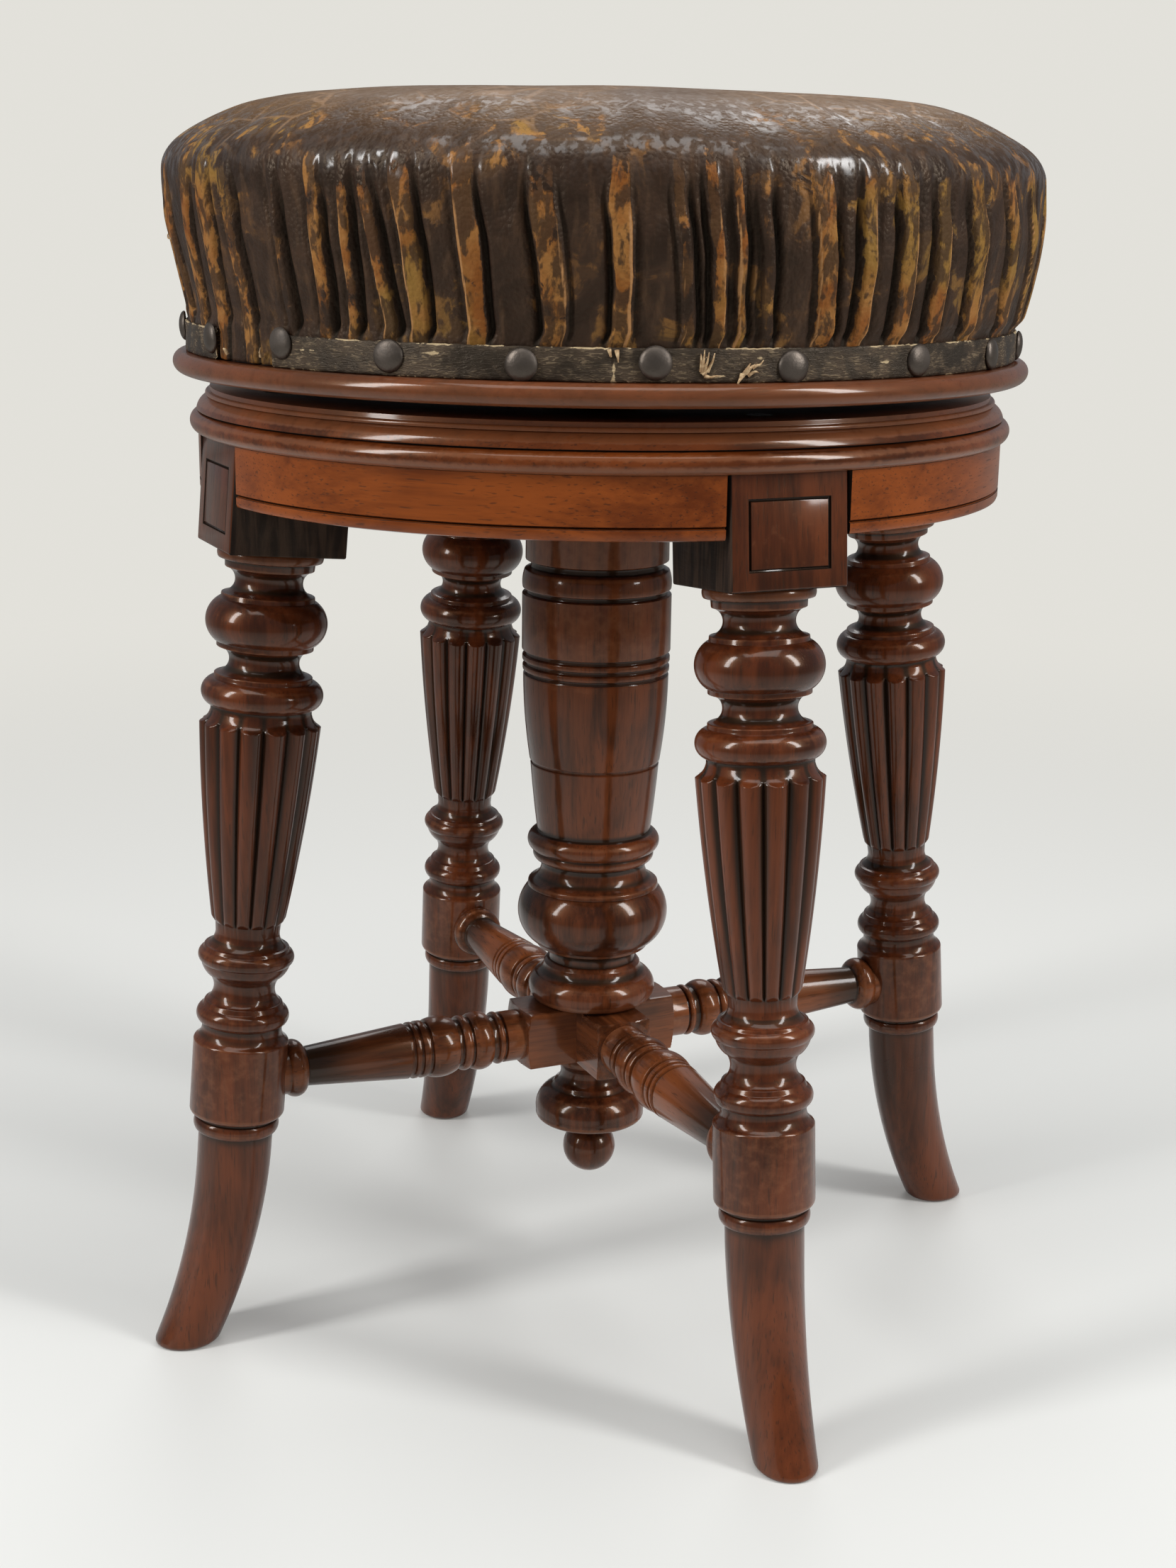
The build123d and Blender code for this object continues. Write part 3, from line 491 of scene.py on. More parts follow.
def blend_colors(factor, under, over):
    """Lay one colour over another."""
    item = node(factor.id_data, "Mix", {"data_type": "RGBA"})
    for number, value in ((0, factor), (6, under), (7, over)):
        feed(item.inputs[number], value)
    return item.outputs[2]


def clouds(place, scale, detail=3.0, distortion=0.0, stretch=None):
    """Noise with features of about 1 / scale metres, longer along an axis whose factor is low."""
    if stretch:
        item = node(place.id_data, "VectorMath", {"operation": "MULTIPLY"}, Vector=place)
        feed(item.inputs[1], stretch)
        place = item.outputs["Vector"]
    return node(place.id_data, "TexNoise", Vector=place, Scale=scale, Detail=detail,
                Distortion=distortion, Roughness=0.55).outputs["Fac"]


def new_material(name):
    """Plain material; returns it, its shader and the place on the piece."""
    material = bpy.data.materials.new(name)
    material.use_nodes = True
    tree = material.node_tree
    return material, tree.nodes["Principled BSDF"], node(tree, "TexCoord").outputs["Object"]


def attribute(skin, name):
    """A mask painted on the piece's points."""
    return node(skin.id_data, "Attribute", {"attribute_name": name}).outputs["Fac"]


def emboss(skin, height, strength, depth):
    """Fine relief, as deep as depth metres."""
    bump = node(skin.id_data, "Bump", Strength=strength, Distance=depth, Height=height)
    set_sockets(skin, Normal=bump.outputs["Normal"])


# French-polished mahogany: straight fibres along Z, open pores, old dark wax and painted shade in
# the hollows of the turning, and rubbed, lighter crests.
wood_group = bpy.data.node_groups.new("polished_wood", "ShaderNodeTree")
for way, sockets in (("INPUT", {"Vector": "Vector", "Light": "Color", "Dark": "Color",
                                "Hollow": "Float", "Dirt": "Float", "Rub": "Float"}),
                     ("OUTPUT", {"Color": "Color", "Roughness": "Float", "Height": "Float"})):
    for name, kind in sockets.items():
        wood_group.interface.new_socket(name, in_out=way, socket_type="NodeSocket" + kind)
given = wood_group.nodes.new("NodeGroupInput").outputs
place, hollow = given["Vector"], given["Hollow"]
bands = clouds(place, 60, 4, 1.2, (1, 1, 0.10))
fibres = clouds(place, 520, 3, 0.2, (1, 1, 0.035))
pores = level(clouds(place, 1300, 1, stretch=(1, 1, 0.06)), 0.60, 0.72)
patches = clouds(place, 17, 3, 0.4)
specks = clouds(place, 240)
tone = level(plus(times(bands, 0.75), times(fibres, 0.35), times(patches, 0.7)), 0.66, 1.14)
wood = blend_colors(tone, given["Dark"], given["Light"])
wood = blend_colors(times(pores, 0.55), wood, (0.02, 0.008, 0.004))
# The hollows go near black, partly with old wax and partly with painted shade.
wax_and_shade_mask = plus(hollow, swing(patches, 1.1))
wood = blend_colors(times(level(wax_and_shade_mask, 0.12, 0.85), given["Dirt"]), wood, (0.010, 0.005, 0.003))
crest = plus(times(hollow, -1), swing(specks, 1.4))
wood = blend_colors(times(level(crest, 0.35, 1), given["Rub"]), wood, (0.25, 0.092, 0.040))
nicks = times(level(specks, 0.70, 0.76), level(patches, 0.45, 0.7), 0.5)
wood = blend_colors(nicks, wood, (0.03, 0.012, 0.006))
dullness = plus(times(patches, 0.22), times(level(wax_and_shade_mask, 0, 1), 0.25), times(pores, 0.12), 0.20)
relief = plus(times(fibres, 0.35), times(pores, -1), times(patches, 1.4))
set_sockets(wood_group.nodes.new("NodeGroupOutput"), Color=wood, Roughness=dullness, Height=relief)


def wood_material(name, light, dark, wax_and_shade, rub, turn=(0, 0, 0), bump=0.10):
    """Polished wood whose grain runs along Z, turned by Euler angles to run along the piece."""
    material, skin, place = new_material(name)
    along = node(skin.id_data, "Mapping", {"vector_type": "POINT"}, Vector=place, Rotation=turn)
    made = node(skin.id_data, "Group", {"node_tree": wood_group}, Vector=along.outputs["Vector"],
                Hollow=attribute(skin, "hollow"), Light=light, Dark=dark, Dirt=wax_and_shade,
                Rub=rub).outputs
    set_sockets(skin, Base_Color=made["Color"], Roughness=made["Roughness"],
                Specular_IOR_Level=0.26, Specular_Tint=(1.0, 0.55, 0.28),
                Coat_Weight=0.55, Coat_Roughness=0.11, Coat_IOR=1.5)
    emboss(skin, made["Height"], bump, 0.0006)
    return material


def raw_wood_material(name, light, dark, dusting):
    """Sawn, unfinished wood: dull, with coarse streaks along Z and ingrained dust."""
    material, skin, place = new_material(name)
    streaks = clouds(place, 300, 4, 0.5, (1, 1, 0.12))
    saw = clouds(place, 420, 2, stretch=(0.2, 0.2, 1))
    dust = clouds(place, 30)
    color = blend_colors(level(streaks, 0.35, 0.68), dark, light)
    color = blend_colors(level(dust, 0.45, 0.75, 0, dusting), color, (0.16, 0.13, 0.105))
    set_sockets(skin, Base_Color=color, Roughness=level(dust, 0.2, 0.8, 0.62, 0.9),
                Specular_IOR_Level=0.15)
    emboss(skin, plus(streaks, times(saw, 0.7)), 0.5, 0.0005)
    return material


turned_mahogany = wood_material("turned_mahogany", (0.128, 0.030, 0.009),
                                (0.030, 0.0070, 0.003), 0.98, 0.36)
raw_mahogany = raw_wood_material("raw_mahogany", (0.052, 0.029, 0.018),
                                 (0.015, 0.0080, 0.0052), 0.12)

leg_shape = shape_turning()
finish_sole(leg_shape)
add_block(leg_shape)
for name, azimuth in LEGS.items():
    bm = leg_shape.copy()
    bm.transform(turned(azimuth, "Z") @ moved(LEG_FOOT_RADIUS, 0, 0)
                 @ Matrix.Rotation(-LEAN, 4, "Y"))
    finish_piece(name, bm, [turned_mahogany, raw_mahogany], "frame")
leg_shape.free()

# ---- Column ----------------------------------------------------------------------
# A turned mahogany pillar on the stool's axis, hollow for the screw, that ties the frame's board to
# the crossing of the stretchers.

CROSS_HALF = 12.3
COLUMN_HEAD = [
    (0, 29.6), (-53.8, 29.9), (-54.6, 27.6), (-56.8, 27.6),
    (-57.8, 30.2, 0.5), (-65.6, 31.0), (-66.0, 29.2), (-67.6, 29.2),
    (-68.0, 31.2), (-91.6, 31.2), (-92.0, 29.4), (-93.6, 29.4),
    (-94.0, 31.0), (-96.0, 31.0), (-96.4, 29.3), (-97.8, 29.3),
    (-98.2, 30.9), (-100.2, 30.8), (-100.6, 29.2), (-102.2, 29.2),
]
COLUMN_FOOT = [
    (145.2, 30.6, 0.7), (108.1, 27.6), (107.9, 26.7), (106.8, 26.7), (106.6, 27.3, 0.2),
    (77.1, 24.2), (76.8, 24.8, 2.7), (68.7, 26.2), (68.5, 25.4),
    (67.9, 25.6, 1.0), (63.9, 23.8), (63.5, 22.6), (63.1, 22.4, -1.8),
    (54.5, 27.2), (54.3, 27.8), (52.5, 28.1), (52.3, 27.6),
    (52.1, 27.9, 5.9), (27.1, 24.6), (26.9, 24.2), (25.5, 23.8),
    (25.3, 22.6, -1.3), (20.9, 18.6), (19.3, 18.6), (19.1, 19.6),
    (17.7, 20.6), (17.5, 20.8, -0.8), (12.7, 24.0), (12.5, 24.6),
    (12.3, 24.8, 2.5), (1.3, 25.0), (1.3, 19.0), (0, 19.0),
]
column_wood = wood_material("column_mahogany", (0.150, 0.038, 0.012), (0.022, 0.0058, 0.0025),
                            0.95, 0.35)


def capped(outline):
    """The outline with a point on the axis at each end."""
    return [Vector((0, outline[0].y))] + outline + [Vector((0, outline[-1].y))]


bm = bmesh.new()
spin_outline(bm, capped(softened(turned_outline(COLUMN_HEAD, FRAME_FOOT)
                                 + turned_outline(COLUMN_FOOT, CROSS_HEIGHT + CROSS_HALF))), 128)
finish_piece("column", bm, [column_wood], "frame")

# ---- Finial ----------------------------------------------------------------------
# A turned drop with a ball, glued by its peg into the underside of the crossing.

FINIAL = [
    (0, 15.0, 0.5), (-3.9, 15.6), (-4.9, 14.2, -1.4), (-12.9, 14.4),
    (-13.7, 15.6), (-15.3, 16.4), (-15.9, 16.9, 2.6), (-27.6, 23.7, 1.0),
    (-30.6, 21.4), (-31.0, 14.0), (-31.9, 9.5), (-35.0, 7.4),
]
BALL_RADIUS, BALL_NECK, BALL_DROP = 11.5, 7.2, 45.0
neck_turn = asin(BALL_NECK / BALL_RADIUS)
ball = [(BALL_RADIUS * cos(neck_turn) - BALL_DROP, BALL_NECK,
         BALL_RADIUS * (1 - cos((pi - neck_turn) / 2))), (-BALL_DROP - BALL_RADIUS, 0)]
bm = bmesh.new()
spin_outline(bm, [Vector((0, CROSS_HEIGHT - CROSS_HALF))]
             + softened(turned_outline(FINIAL + ball, CROSS_HEIGHT - CROSS_HALF)), 96)
finish_piece("finial", bm, [column_wood], "frame")

# ---- Stretchers ------------------------------------------------------------------
# Two turned mahogany rails halved over each other in a square crossing, and tenoned into the drums
# of the legs.

ARM_END, SQUARE_END = 139.1, 34.6
SHOULDER_RADIUS, SHOULDER_LENGTH, CORNER_RADIUS = 13.0, 1.1, CROSS_HALF * 1.39
SHOULDER_RINGS = (0.001, 0.2, 0.4, 0.6, 0.8, 1)
ARM_TURNING = [
    (ARM_END + 5.9, 10.0), (ARM_END - 0.1, 10.5, 2.3), (ARM_END - 8.1, 8.8),
    (ARM_END - 8.6, 8.2),
    (86.8, 11.8), (86.4, 10.8), (84.8, 10.8), (84.6, 12.0),
    (83.0, 12.0), (82.8, 10.9), (81.4, 10.9), (81.3, 12.1),
    (78.8, 12.1), (78.6, 11.0), (77.2, 11.0), (77.0, 12.2, 1.2),
    (65.2, 11.4), (65.0, 10.2), (62.8, 10.0), (62.7, 11.2, 0.6),
    (59.2, 11.2), (59.2, 10.4), (58.1, 10.4), (58.0, 11.4, 1.3),
    (49.6, 11.2), (49.2, 9.9), (46.8, 9.7), (46.6, 10.8, 0.6),
    (44.2, 10.6), (44.2, 9.6), (43.2, 9.6), (43.0, 10.9),
    (31.4, 10.9),
]


def add_square(bm, start, end, shoulders):
    """A length of the square, along Z, its corners turned off where it meets the turning."""
    hollow = bm.verts.layers.float["hollow"]
    heights = {start, end}
    for shoulder in shoulders:
        inwards = -1 if shoulder > 0 else 1
        heights |= {shoulder + inwards * SHOULDER_LENGTH * share for share in SHOULDER_RINGS}
    heights = sorted({min(max(height, start), end) for height in heights})
    ring = bmesh.ops.create_circle(bm, cap_ends=True, radius=1, segments=96)["verts"]
    face = ring[0].link_faces[0]
    for index, height in enumerate(heights):
        if index:
            extruded = bmesh.ops.extrude_face_region(bm, geom=[face])["geom"]
            if index > 1:
                bmesh.ops.delete(bm, geom=[face], context="FACES_ONLY")
            face = next(item for item in extruded if isinstance(item, bmesh.types.BMFace))
        room = min([CORNER_RADIUS] + [SHOULDER_RADIUS + (CORNER_RADIUS - SHOULDER_RADIUS)
                                      * min(1, abs(abs(shoulder) - abs(height)) / SHOULDER_LENGTH)
                                      for shoulder in shoulders if shoulder * height > 0])
        for vert in face.verts:
            direction = vert.co.xy.normalized()
            reach = min(CROSS_HALF / max(abs(direction.x), abs(direction.y)), room)
            vert.co = (direction.x * reach * MM, direction.y * reach * MM, height * MM)
            vert[hollow] = -0.5 if reach > CROSS_HALF * 1.3 else 0.0


def add_arm(bm):
    """The turned length from the square out to the leg, along Z."""
    spin_outline(bm, capped(softened(turned_outline(ARM_TURNING), 0.2)), 72)


for name, along, grain in (("stretcher_x", turned(90, "Y"), (0, radians(90), 0)),
                           ("stretcher_y", turned(-90, "X"), (radians(90), 0, 0))):
    stretcher_wood = wood_material(name + "_mahogany", (0.215, 0.060, 0.018),
                                   (0.040, 0.011, 0.004), 0.95, 0.5, grain)
    bm = bmesh.new()
    add_arm(bm)
    bm.transform(turned(180, "X"))
    add_arm(bm)
    if name == "stretcher_x":
        add_square(bm, -SQUARE_END, SQUARE_END, (-SQUARE_END, SQUARE_END))
    else:
        add_square(bm, CROSS_HALF, SQUARE_END, (SQUARE_END,))
        add_square(bm, -SQUARE_END, -CROSS_HALF, (-SQUARE_END,))
    bm.transform(moved(0, 0, CROSS_HEIGHT) @ along)
    finish_piece(name, bm, [stretcher_wood], "frame")

# ---- Frieze rails ----------------------------------------------------------------
# Four curved rails, polished outside and sawn inside, with a scribed line along the foot. They are
# tenoned into the leg blocks.

RAIL_THICKNESS, RAIL_GAP = 19.0, 1.5
RAIL_FOOT = FRAME_FOOT - RAIL_HEIGHT
SCRIBE_HEIGHT, SCRIBE_HALF, SCRIBE_DEPTH = RAIL_FOOT + 4.6, 0.6, 1.2
RAILS = {"frieze_rail_front_right": -45, "frieze_rail_front_left": -135,
         "frieze_rail_back_left": 135, "frieze_rail_back_right": 45}
# The rail's section: how far each corner lies in from the outer face, and its height.
RAIL_SECTION = [
    (0, FRAME_FOOT), (0, SCRIBE_HEIGHT + SCRIBE_HALF), (0.35, SCRIBE_HEIGHT + 0.8 * SCRIBE_HALF),
    (SCRIBE_DEPTH, SCRIBE_HEIGHT), (0.35, SCRIBE_HEIGHT - 0.8 * SCRIBE_HALF),
    (0, SCRIBE_HEIGHT - SCRIBE_HALF), (0, RAIL_FOOT + 1.4), (0.4, RAIL_FOOT + 0.4),
    (1.4, RAIL_FOOT), (RAIL_THICKNESS, RAIL_FOOT), (RAIL_THICKNESS, FRAME_FOOT),
]
for name, azimuth in RAILS.items():
    grain = (turned(90, "X") @ turned(-azimuth, "Z")).to_euler()
    rail_wood = wood_material(name + "_mahogany", (0.275, 0.062, 0.009),
                              (0.112, 0.021, 0.003), 0.9, 0.4, grain, 0.08)
    bm = bmesh.new()
    hollow = bm.verts.layers.float.new("hollow")
    verts = []
    for depth, height in RAIL_SECTION:
        vert = bm.verts.new(((RAIL_RADIUS - depth) * MM, 0, height * MM))
        # The scribed line counts as a hollow, which wax and painted shade darken.
        vert[hollow] = 1.0 if depth == SCRIBE_DEPTH else -0.1
        verts.append(vert)
    edges = [bm.edges.new(pair) for pair in zip(verts, verts[1:] + verts[:1])]
    bmesh.ops.spin(bm, geom=verts + edges, cent=(0, 0, 0), axis=(0, 0, 1), angle=pi / 2, steps=60)
    for normal in (Vector((1, 0, 0)), Vector((0, 1, 0))):
        joint = normal * (BLOCK_WIDTH / 2 + RAIL_GAP) * MM
        rim = cut_away(bm, joint, normal, 1e-7, clear_inner=True)[1]
        bmesh.ops.contextual_create(bm, geom=rim)
    bmesh.ops.recalc_face_normals(bm, faces=bm.faces)
    for face in bm.faces:
        outward = face.calc_center_median().xy.normalized().dot(face.normal.xy)
        face.material_index = 0 if outward > 0.35 else 1
    bm.transform(turned(azimuth - 45, "Z"))
    finish_piece(name, bm, [rail_wood, raw_mahogany], "frame", 30)

# ---- Frame's board ---------------------------------------------------------------
# The fixed board under the seat, its edge worked with a bead, an ovolo and a small step. It is
# screwed down to the leg blocks and let in for the nut.

NUT_PLATE_RADIUS, NUT_PLATE_THICKNESS, NUT_BARREL_RADIUS = 42.0, 4.0, 17.0
FIT = 0.2  # room round the plates and the barrel let into the boards
SHY = 0.15  # the board's face just below the plates and screw heads let into it
BEAD_CENTRE = 160.9
board_wood = wood_material("board_mahogany", (0.170, 0.038, 0.007), (0.046, 0.0095, 0.002),
                           1.0, 0.5, (0, radians(90), 0), 0.08)
board_edge = turned_outline([
    (FRAME_TOP - SHY, NUT_PLATE_RADIUS + FIT), (FRAME_TOP - SHY, 156.9), (389.1, 156.9),
    (389.1, 158.2, 0.3), (387.4, 158.6), (387.4, 157.6), (387.1, 158.1, 0.9),
    (381.9, 162.3), (381.9, 160.4), (381.4, 160.4), (381.4, BEAD_CENTRE, 4.1),
    (FRAME_FOOT, BEAD_CENTRE), (FRAME_FOOT, NUT_BARREL_RADIUS + FIT),
    (FRAME_TOP - NUT_PLATE_THICKNESS, NUT_BARREL_RADIUS + FIT),
    (FRAME_TOP - NUT_PLATE_THICKNESS, NUT_PLATE_RADIUS + FIT),
])
bm = bmesh.new()
spin_outline(bm, softened(board_edge, 0.22), 240, closed=True)
finish_piece("top_board", bm, [board_wood], "frame")

# ---- Seat board ------------------------------------------------------------------
# The turned disc that carries the cushion. Its half-round edge shows all round under the leather.

SEAT_FOOT, SEAT_THICKNESS = 396.1, 20.0
SEAT_RADIUS, SEAT_BEAD, SEAT_CORE_RADIUS = 170.9, 8.6, 162.4
FLANGE_RADIUS, FLANGE_THICKNESS = 58.0, 5.0
seat_edge = turned_outline([
    (SEAT_FOOT + SEAT_THICKNESS, 0), (SEAT_FOOT + SEAT_THICKNESS, SEAT_CORE_RADIUS),
    (SEAT_FOOT + SEAT_BEAD, SEAT_CORE_RADIUS),
    (SEAT_FOOT + SEAT_BEAD, SEAT_RADIUS - SEAT_BEAD / 2, SEAT_BEAD / 2),
    (SEAT_FOOT + SHY, SEAT_RADIUS - SEAT_BEAD / 2), (SEAT_FOOT + SHY, FLANGE_RADIUS + FIT),
    (SEAT_FOOT + FLANGE_THICKNESS, FLANGE_RADIUS + FIT), (SEAT_FOOT + FLANGE_THICKNESS, 0),
])
seat_wood = wood_material("seat_board_mahogany", (0.128, 0.031, 0.009),
                          (0.034, 0.0078, 0.0026), 0.9, 0.32, (0, radians(90), 0), 0.08)
bm = bmesh.new()
spin_outline(bm, softened(seat_edge, 0.2), 240)
finish_piece("seat_board", bm, [seat_wood], "seat")

# ---- Leather cover ---------------------------------------------------------------
# Brown hide drawn up over the hair stuffing and gathered round the side in flat pleats, whose folds
# have worn to tan. The cover is blown up smooth as cloth, then the pleats are pressed into it.

COVER_FOOT, BAND_TOP, COVER_SHOULDER = 404.9, 416.3, 472.0
COVER_FOOT_RADIUS, COVER_RADIUS, CROWN_RISE = 164.2, 176.2, 30.6
# The stuffing has worked over to the right, and the crown is a little lower on that side.
CUSHION_SLIP, SLIP_DIRECTION = 1.6, Vector((cos(radians(335)), sin(radians(335)), 0))
CROWN_SAG, CROWN_TILT = 1.1, 1.9
LINING_RADIUS, LINING_HEIGHT, LINING_CORNER = 162.7, 416.7, 1.5
COVER_COLUMNS, PUFF_FRAMES, PUFF_LIMIT = 330, 20, 3.0
POLE_HOLE = 3.0  # left open while the cloth is rounded, and drawn shut after
TORN_STRETCH = (187.3, 200.8)
PLEAT_RISE, CREASE_DEPTH, FAR_CREASE_DEPTH = 1.4, 2.6, 1.1
LEATHER_LOWEST, LEATHER_HIGHEST = -3.3, 1.7
# Radius outside which the leather is pleated, and the heights between which the crown goes slack.
PLEATED_RADIUS, SLACK_START, SLACK_FULL = 140, 455, 492
# Pleats in view: azimuth at the foot and at the shoulder, width, side of its shadow, wear.
PLEATS = [
    (173.7, 173.4, 8.0, 1, 1.0), (180.7, 184.0, 8.0, 1, 0.9), (188.2, 189.3, 8.6, 1, 0.85),
    (195.3, 194.7, 8.3, 1, 0.6), (204.0, 204.0, 4.5, 1, 0.45), (210.0, 210.4, 6.5, 1, 0.65),
    (214.2, 215.0, 4.8, 1, 0.7), (219.5, 217.6, 5.6, 1, 0.75), (223.4, 222.7, 8.2, 1, 0.85),
    (230.6, 229.7, 8.4, 1, 0.95), (239.7, 238.7, 9.4, -1, 0.7), (247.3, 247.2, 7.4, -1, 1.0),
    (255.3, 253.6, 4.7, 1, 0.6), (258.9, 257.3, 5.0, -1, 0.75), (261.3, 260.2, 3.9, 1, 0.95),
    (264.7, 263.2, 5.0, 1, 0.45), (272.3, 270.3, 9.0, 1, 0.85), (277.4, 276.6, 7.0, -1, 0.85),
    (283.5, 282.5, 8.6, -1, 0.8), (289.7, 288.1, 8.6, -1, 0.85), (297.9, 294.7, 9.6, -1, 0.95),
    (308.4, 302.9, 9.0, -1, 0.8), (317.3, 312.1, 8.0, 1, 0.85),
]
random.seed(11)
azimuth = PLEATS[-1][0] + 7
while azimuth < PLEATS[0][0] + 354:
    PLEATS.append((azimuth % 360, (azimuth + random.uniform(-2.5, 2.5)) % 360,
                   random.uniform(4.5, 9.5), random.choice((-1, 1)), random.uniform(0.5, 1.0)))
    azimuth += random.uniform(5.5, 9.0)


def turned_away(azimuth, from_azimuth):
    """Signed angle in degrees between two azimuths."""
    return (azimuth - from_azimuth + 180) % 360 - 180


def smooth_step(low, high, value):
    """Smooth rise from 0 at low to 1 at high; low may be the larger."""
    share = min(1.0, max(0.0, (value - low) / (high - low)))
    return share * share * (3 - 2 * share)


def ripple(x, y, z):
    """Smooth noise from about -1 to 1."""
    return noise.noise(Vector((x, y, z)))


def bell(distance, width):
    """Rounded bump, 1 in its middle."""
    return exp(-(distance / width)**2)


def side_share(height):
    """How far up the cover's side a height is: 0 over the banding, 1 at the shoulder."""
    return (height - BAND_TOP) / (COVER_SHOULDER - BAND_TOP)


def polar(vert):
    """A vert's height and radius in millimetres and its azimuth in degrees."""
    return vert.co.z / MM, vert.co.xy.length / MM, atan2(vert.co.y, vert.co.x) * 180 / pi % 360


near_pleats = [[pleat for pleat in PLEATS if abs(turned_away(spot + 0.5, pleat[0])) < 8.5]
               for spot in range(360)]


def pleat_shape(azimuth, height):
    """The leather's rise over its smooth round, and at a place its masks: worn strip, worn edge
    with a painted highlight, and painted shade in the creases.
    """
    share = min(1.25, side_share(height))
    rise = strip = edge = painted_shade = 0.0
    for foot, shoulder, width, side, wear in near_pleats[int(azimuth) % 360]:
        away = turned_away(azimuth, foot + turned_away(shoulder, foot) * share)
        wander = 0.9 * ripple(foot, height * 0.07, 2)
        across = (radians(away) * COVER_RADIUS + wander) * side
        half = width / 2 * (0.92 + 0.2 * ripple(foot, height * 0.05, 7))
        if abs(across) > half + 6:
            continue
        top = COVER_SHOULDER + 7 * ripple(foot * 3.1, 0, 5)
        press = smooth_step(top + 11, top - 18, height)
        plateau = smooth_step(half + 0.7, half - 0.7, abs(across))
        crease, far_crease = bell(across - half - 1.4, 1.25), bell(across + half + 1.2, 1.2)
        rise += press * (PLEAT_RISE * plateau - CREASE_DEPTH * crease
                         - FAR_CREASE_DEPTH * far_crease)
        strip = max(strip, wear * plateau * smooth_step(top + 24, top - 6, height))
        # The edge opposite the shadow: pale wear with a painted highlight.
        edge = max(edge, wear * bell(across + half - 0.8, 0.75) * press)
        # Painted shade in the creases, darkest in the deep one on the shadow's side.
        painted_shade = max(painted_shade, press * crease, 0.55 * press * far_crease)
    return max(LEATHER_LOWEST, min(LEATHER_HIGHEST, rise)), strip, edge, painted_shade


cover_outline = [
    Vector((COVER_FOOT_RADIUS + (COVER_RADIUS - COVER_FOOT_RADIUS) * max(0.0, side_share(height)),
            height))
    for height in (COVER_FOOT, 408.5, 412.5, BAND_TOP, 421, 428, 436, 445, 454, 462,
                   COVER_SHOULDER)]
cover_outline += [
    Vector((COVER_RADIUS * (1 - share**2.6)**(1 / 4.2), COVER_SHOULDER + CROWN_RISE * share))
    for share in (0.2, 0.4, 0.57, 0.7, 0.8, 0.88, 0.935, 0.97, 0.99, 0.9993)]
cover_outline.append(Vector((POLE_HOLE, COVER_SHOULDER + CROWN_RISE)))
lining = [Vector(point) for point in (
    (POLE_HOLE, LINING_HEIGHT), (100, LINING_HEIGHT),
    (LINING_RADIUS - LINING_CORNER, LINING_HEIGHT), (LINING_RADIUS, LINING_HEIGHT),
    (LINING_RADIUS, LINING_HEIGHT - LINING_CORNER), (LINING_RADIUS, COVER_FOOT))]

bm = bmesh.new()
spin_outline(bm, lining + cover_outline, COVER_COLUMNS)
weld(bm)
cloth = new_object("cover_cloth", bm)
points = cloth.data.vertices
held = cloth.vertex_groups.new(name="held")
for vert in points:
    height = vert.co.z / MM
    inside = height < LINING_HEIGHT + 0.1
    held.add([vert.index], 1.0 if inside else 0.75 * smooth_step(466, 425, height), "REPLACE")
start = [vert.co.copy() for vert in points]
drape = cloth.modifiers.new("drape", "CLOTH")
drape.settings.quality = 5
drape.settings.use_pressure = True
drape.settings.uniform_pressure_force = 4
drape.settings.effector_weights.gravity = 0
drape.settings.vertex_group_mass = "held"
drape.point_cache.frame_start, drape.point_cache.frame_end = 1, PUFF_FRAMES
for moment in range(1, PUFF_FRAMES + 1):
    scene.frame_set(moment)
draped = cloth.evaluated_get(bpy.context.evaluated_depsgraph_get())
blown = [vert.co.copy() for vert in draped.data.vertices]
cloth.modifiers.remove(drape)
scene.frame_set(1)
for vert, before, after in zip(points, start, blown):
    shift = after - before
    vert.co = before + shift * min(1.0, PUFF_LIMIT * MM / max(shift.length, 1e-9))
rounding = cloth.modifiers.new("rounding", "SUBSURF")
rounding.levels = rounding.render_levels = 2
rounded = cloth.evaluated_get(bpy.context.evaluated_depsgraph_get())
smooth_cover = bpy.data.meshes.new_from_object(rounded)
bpy.data.objects.remove(cloth)

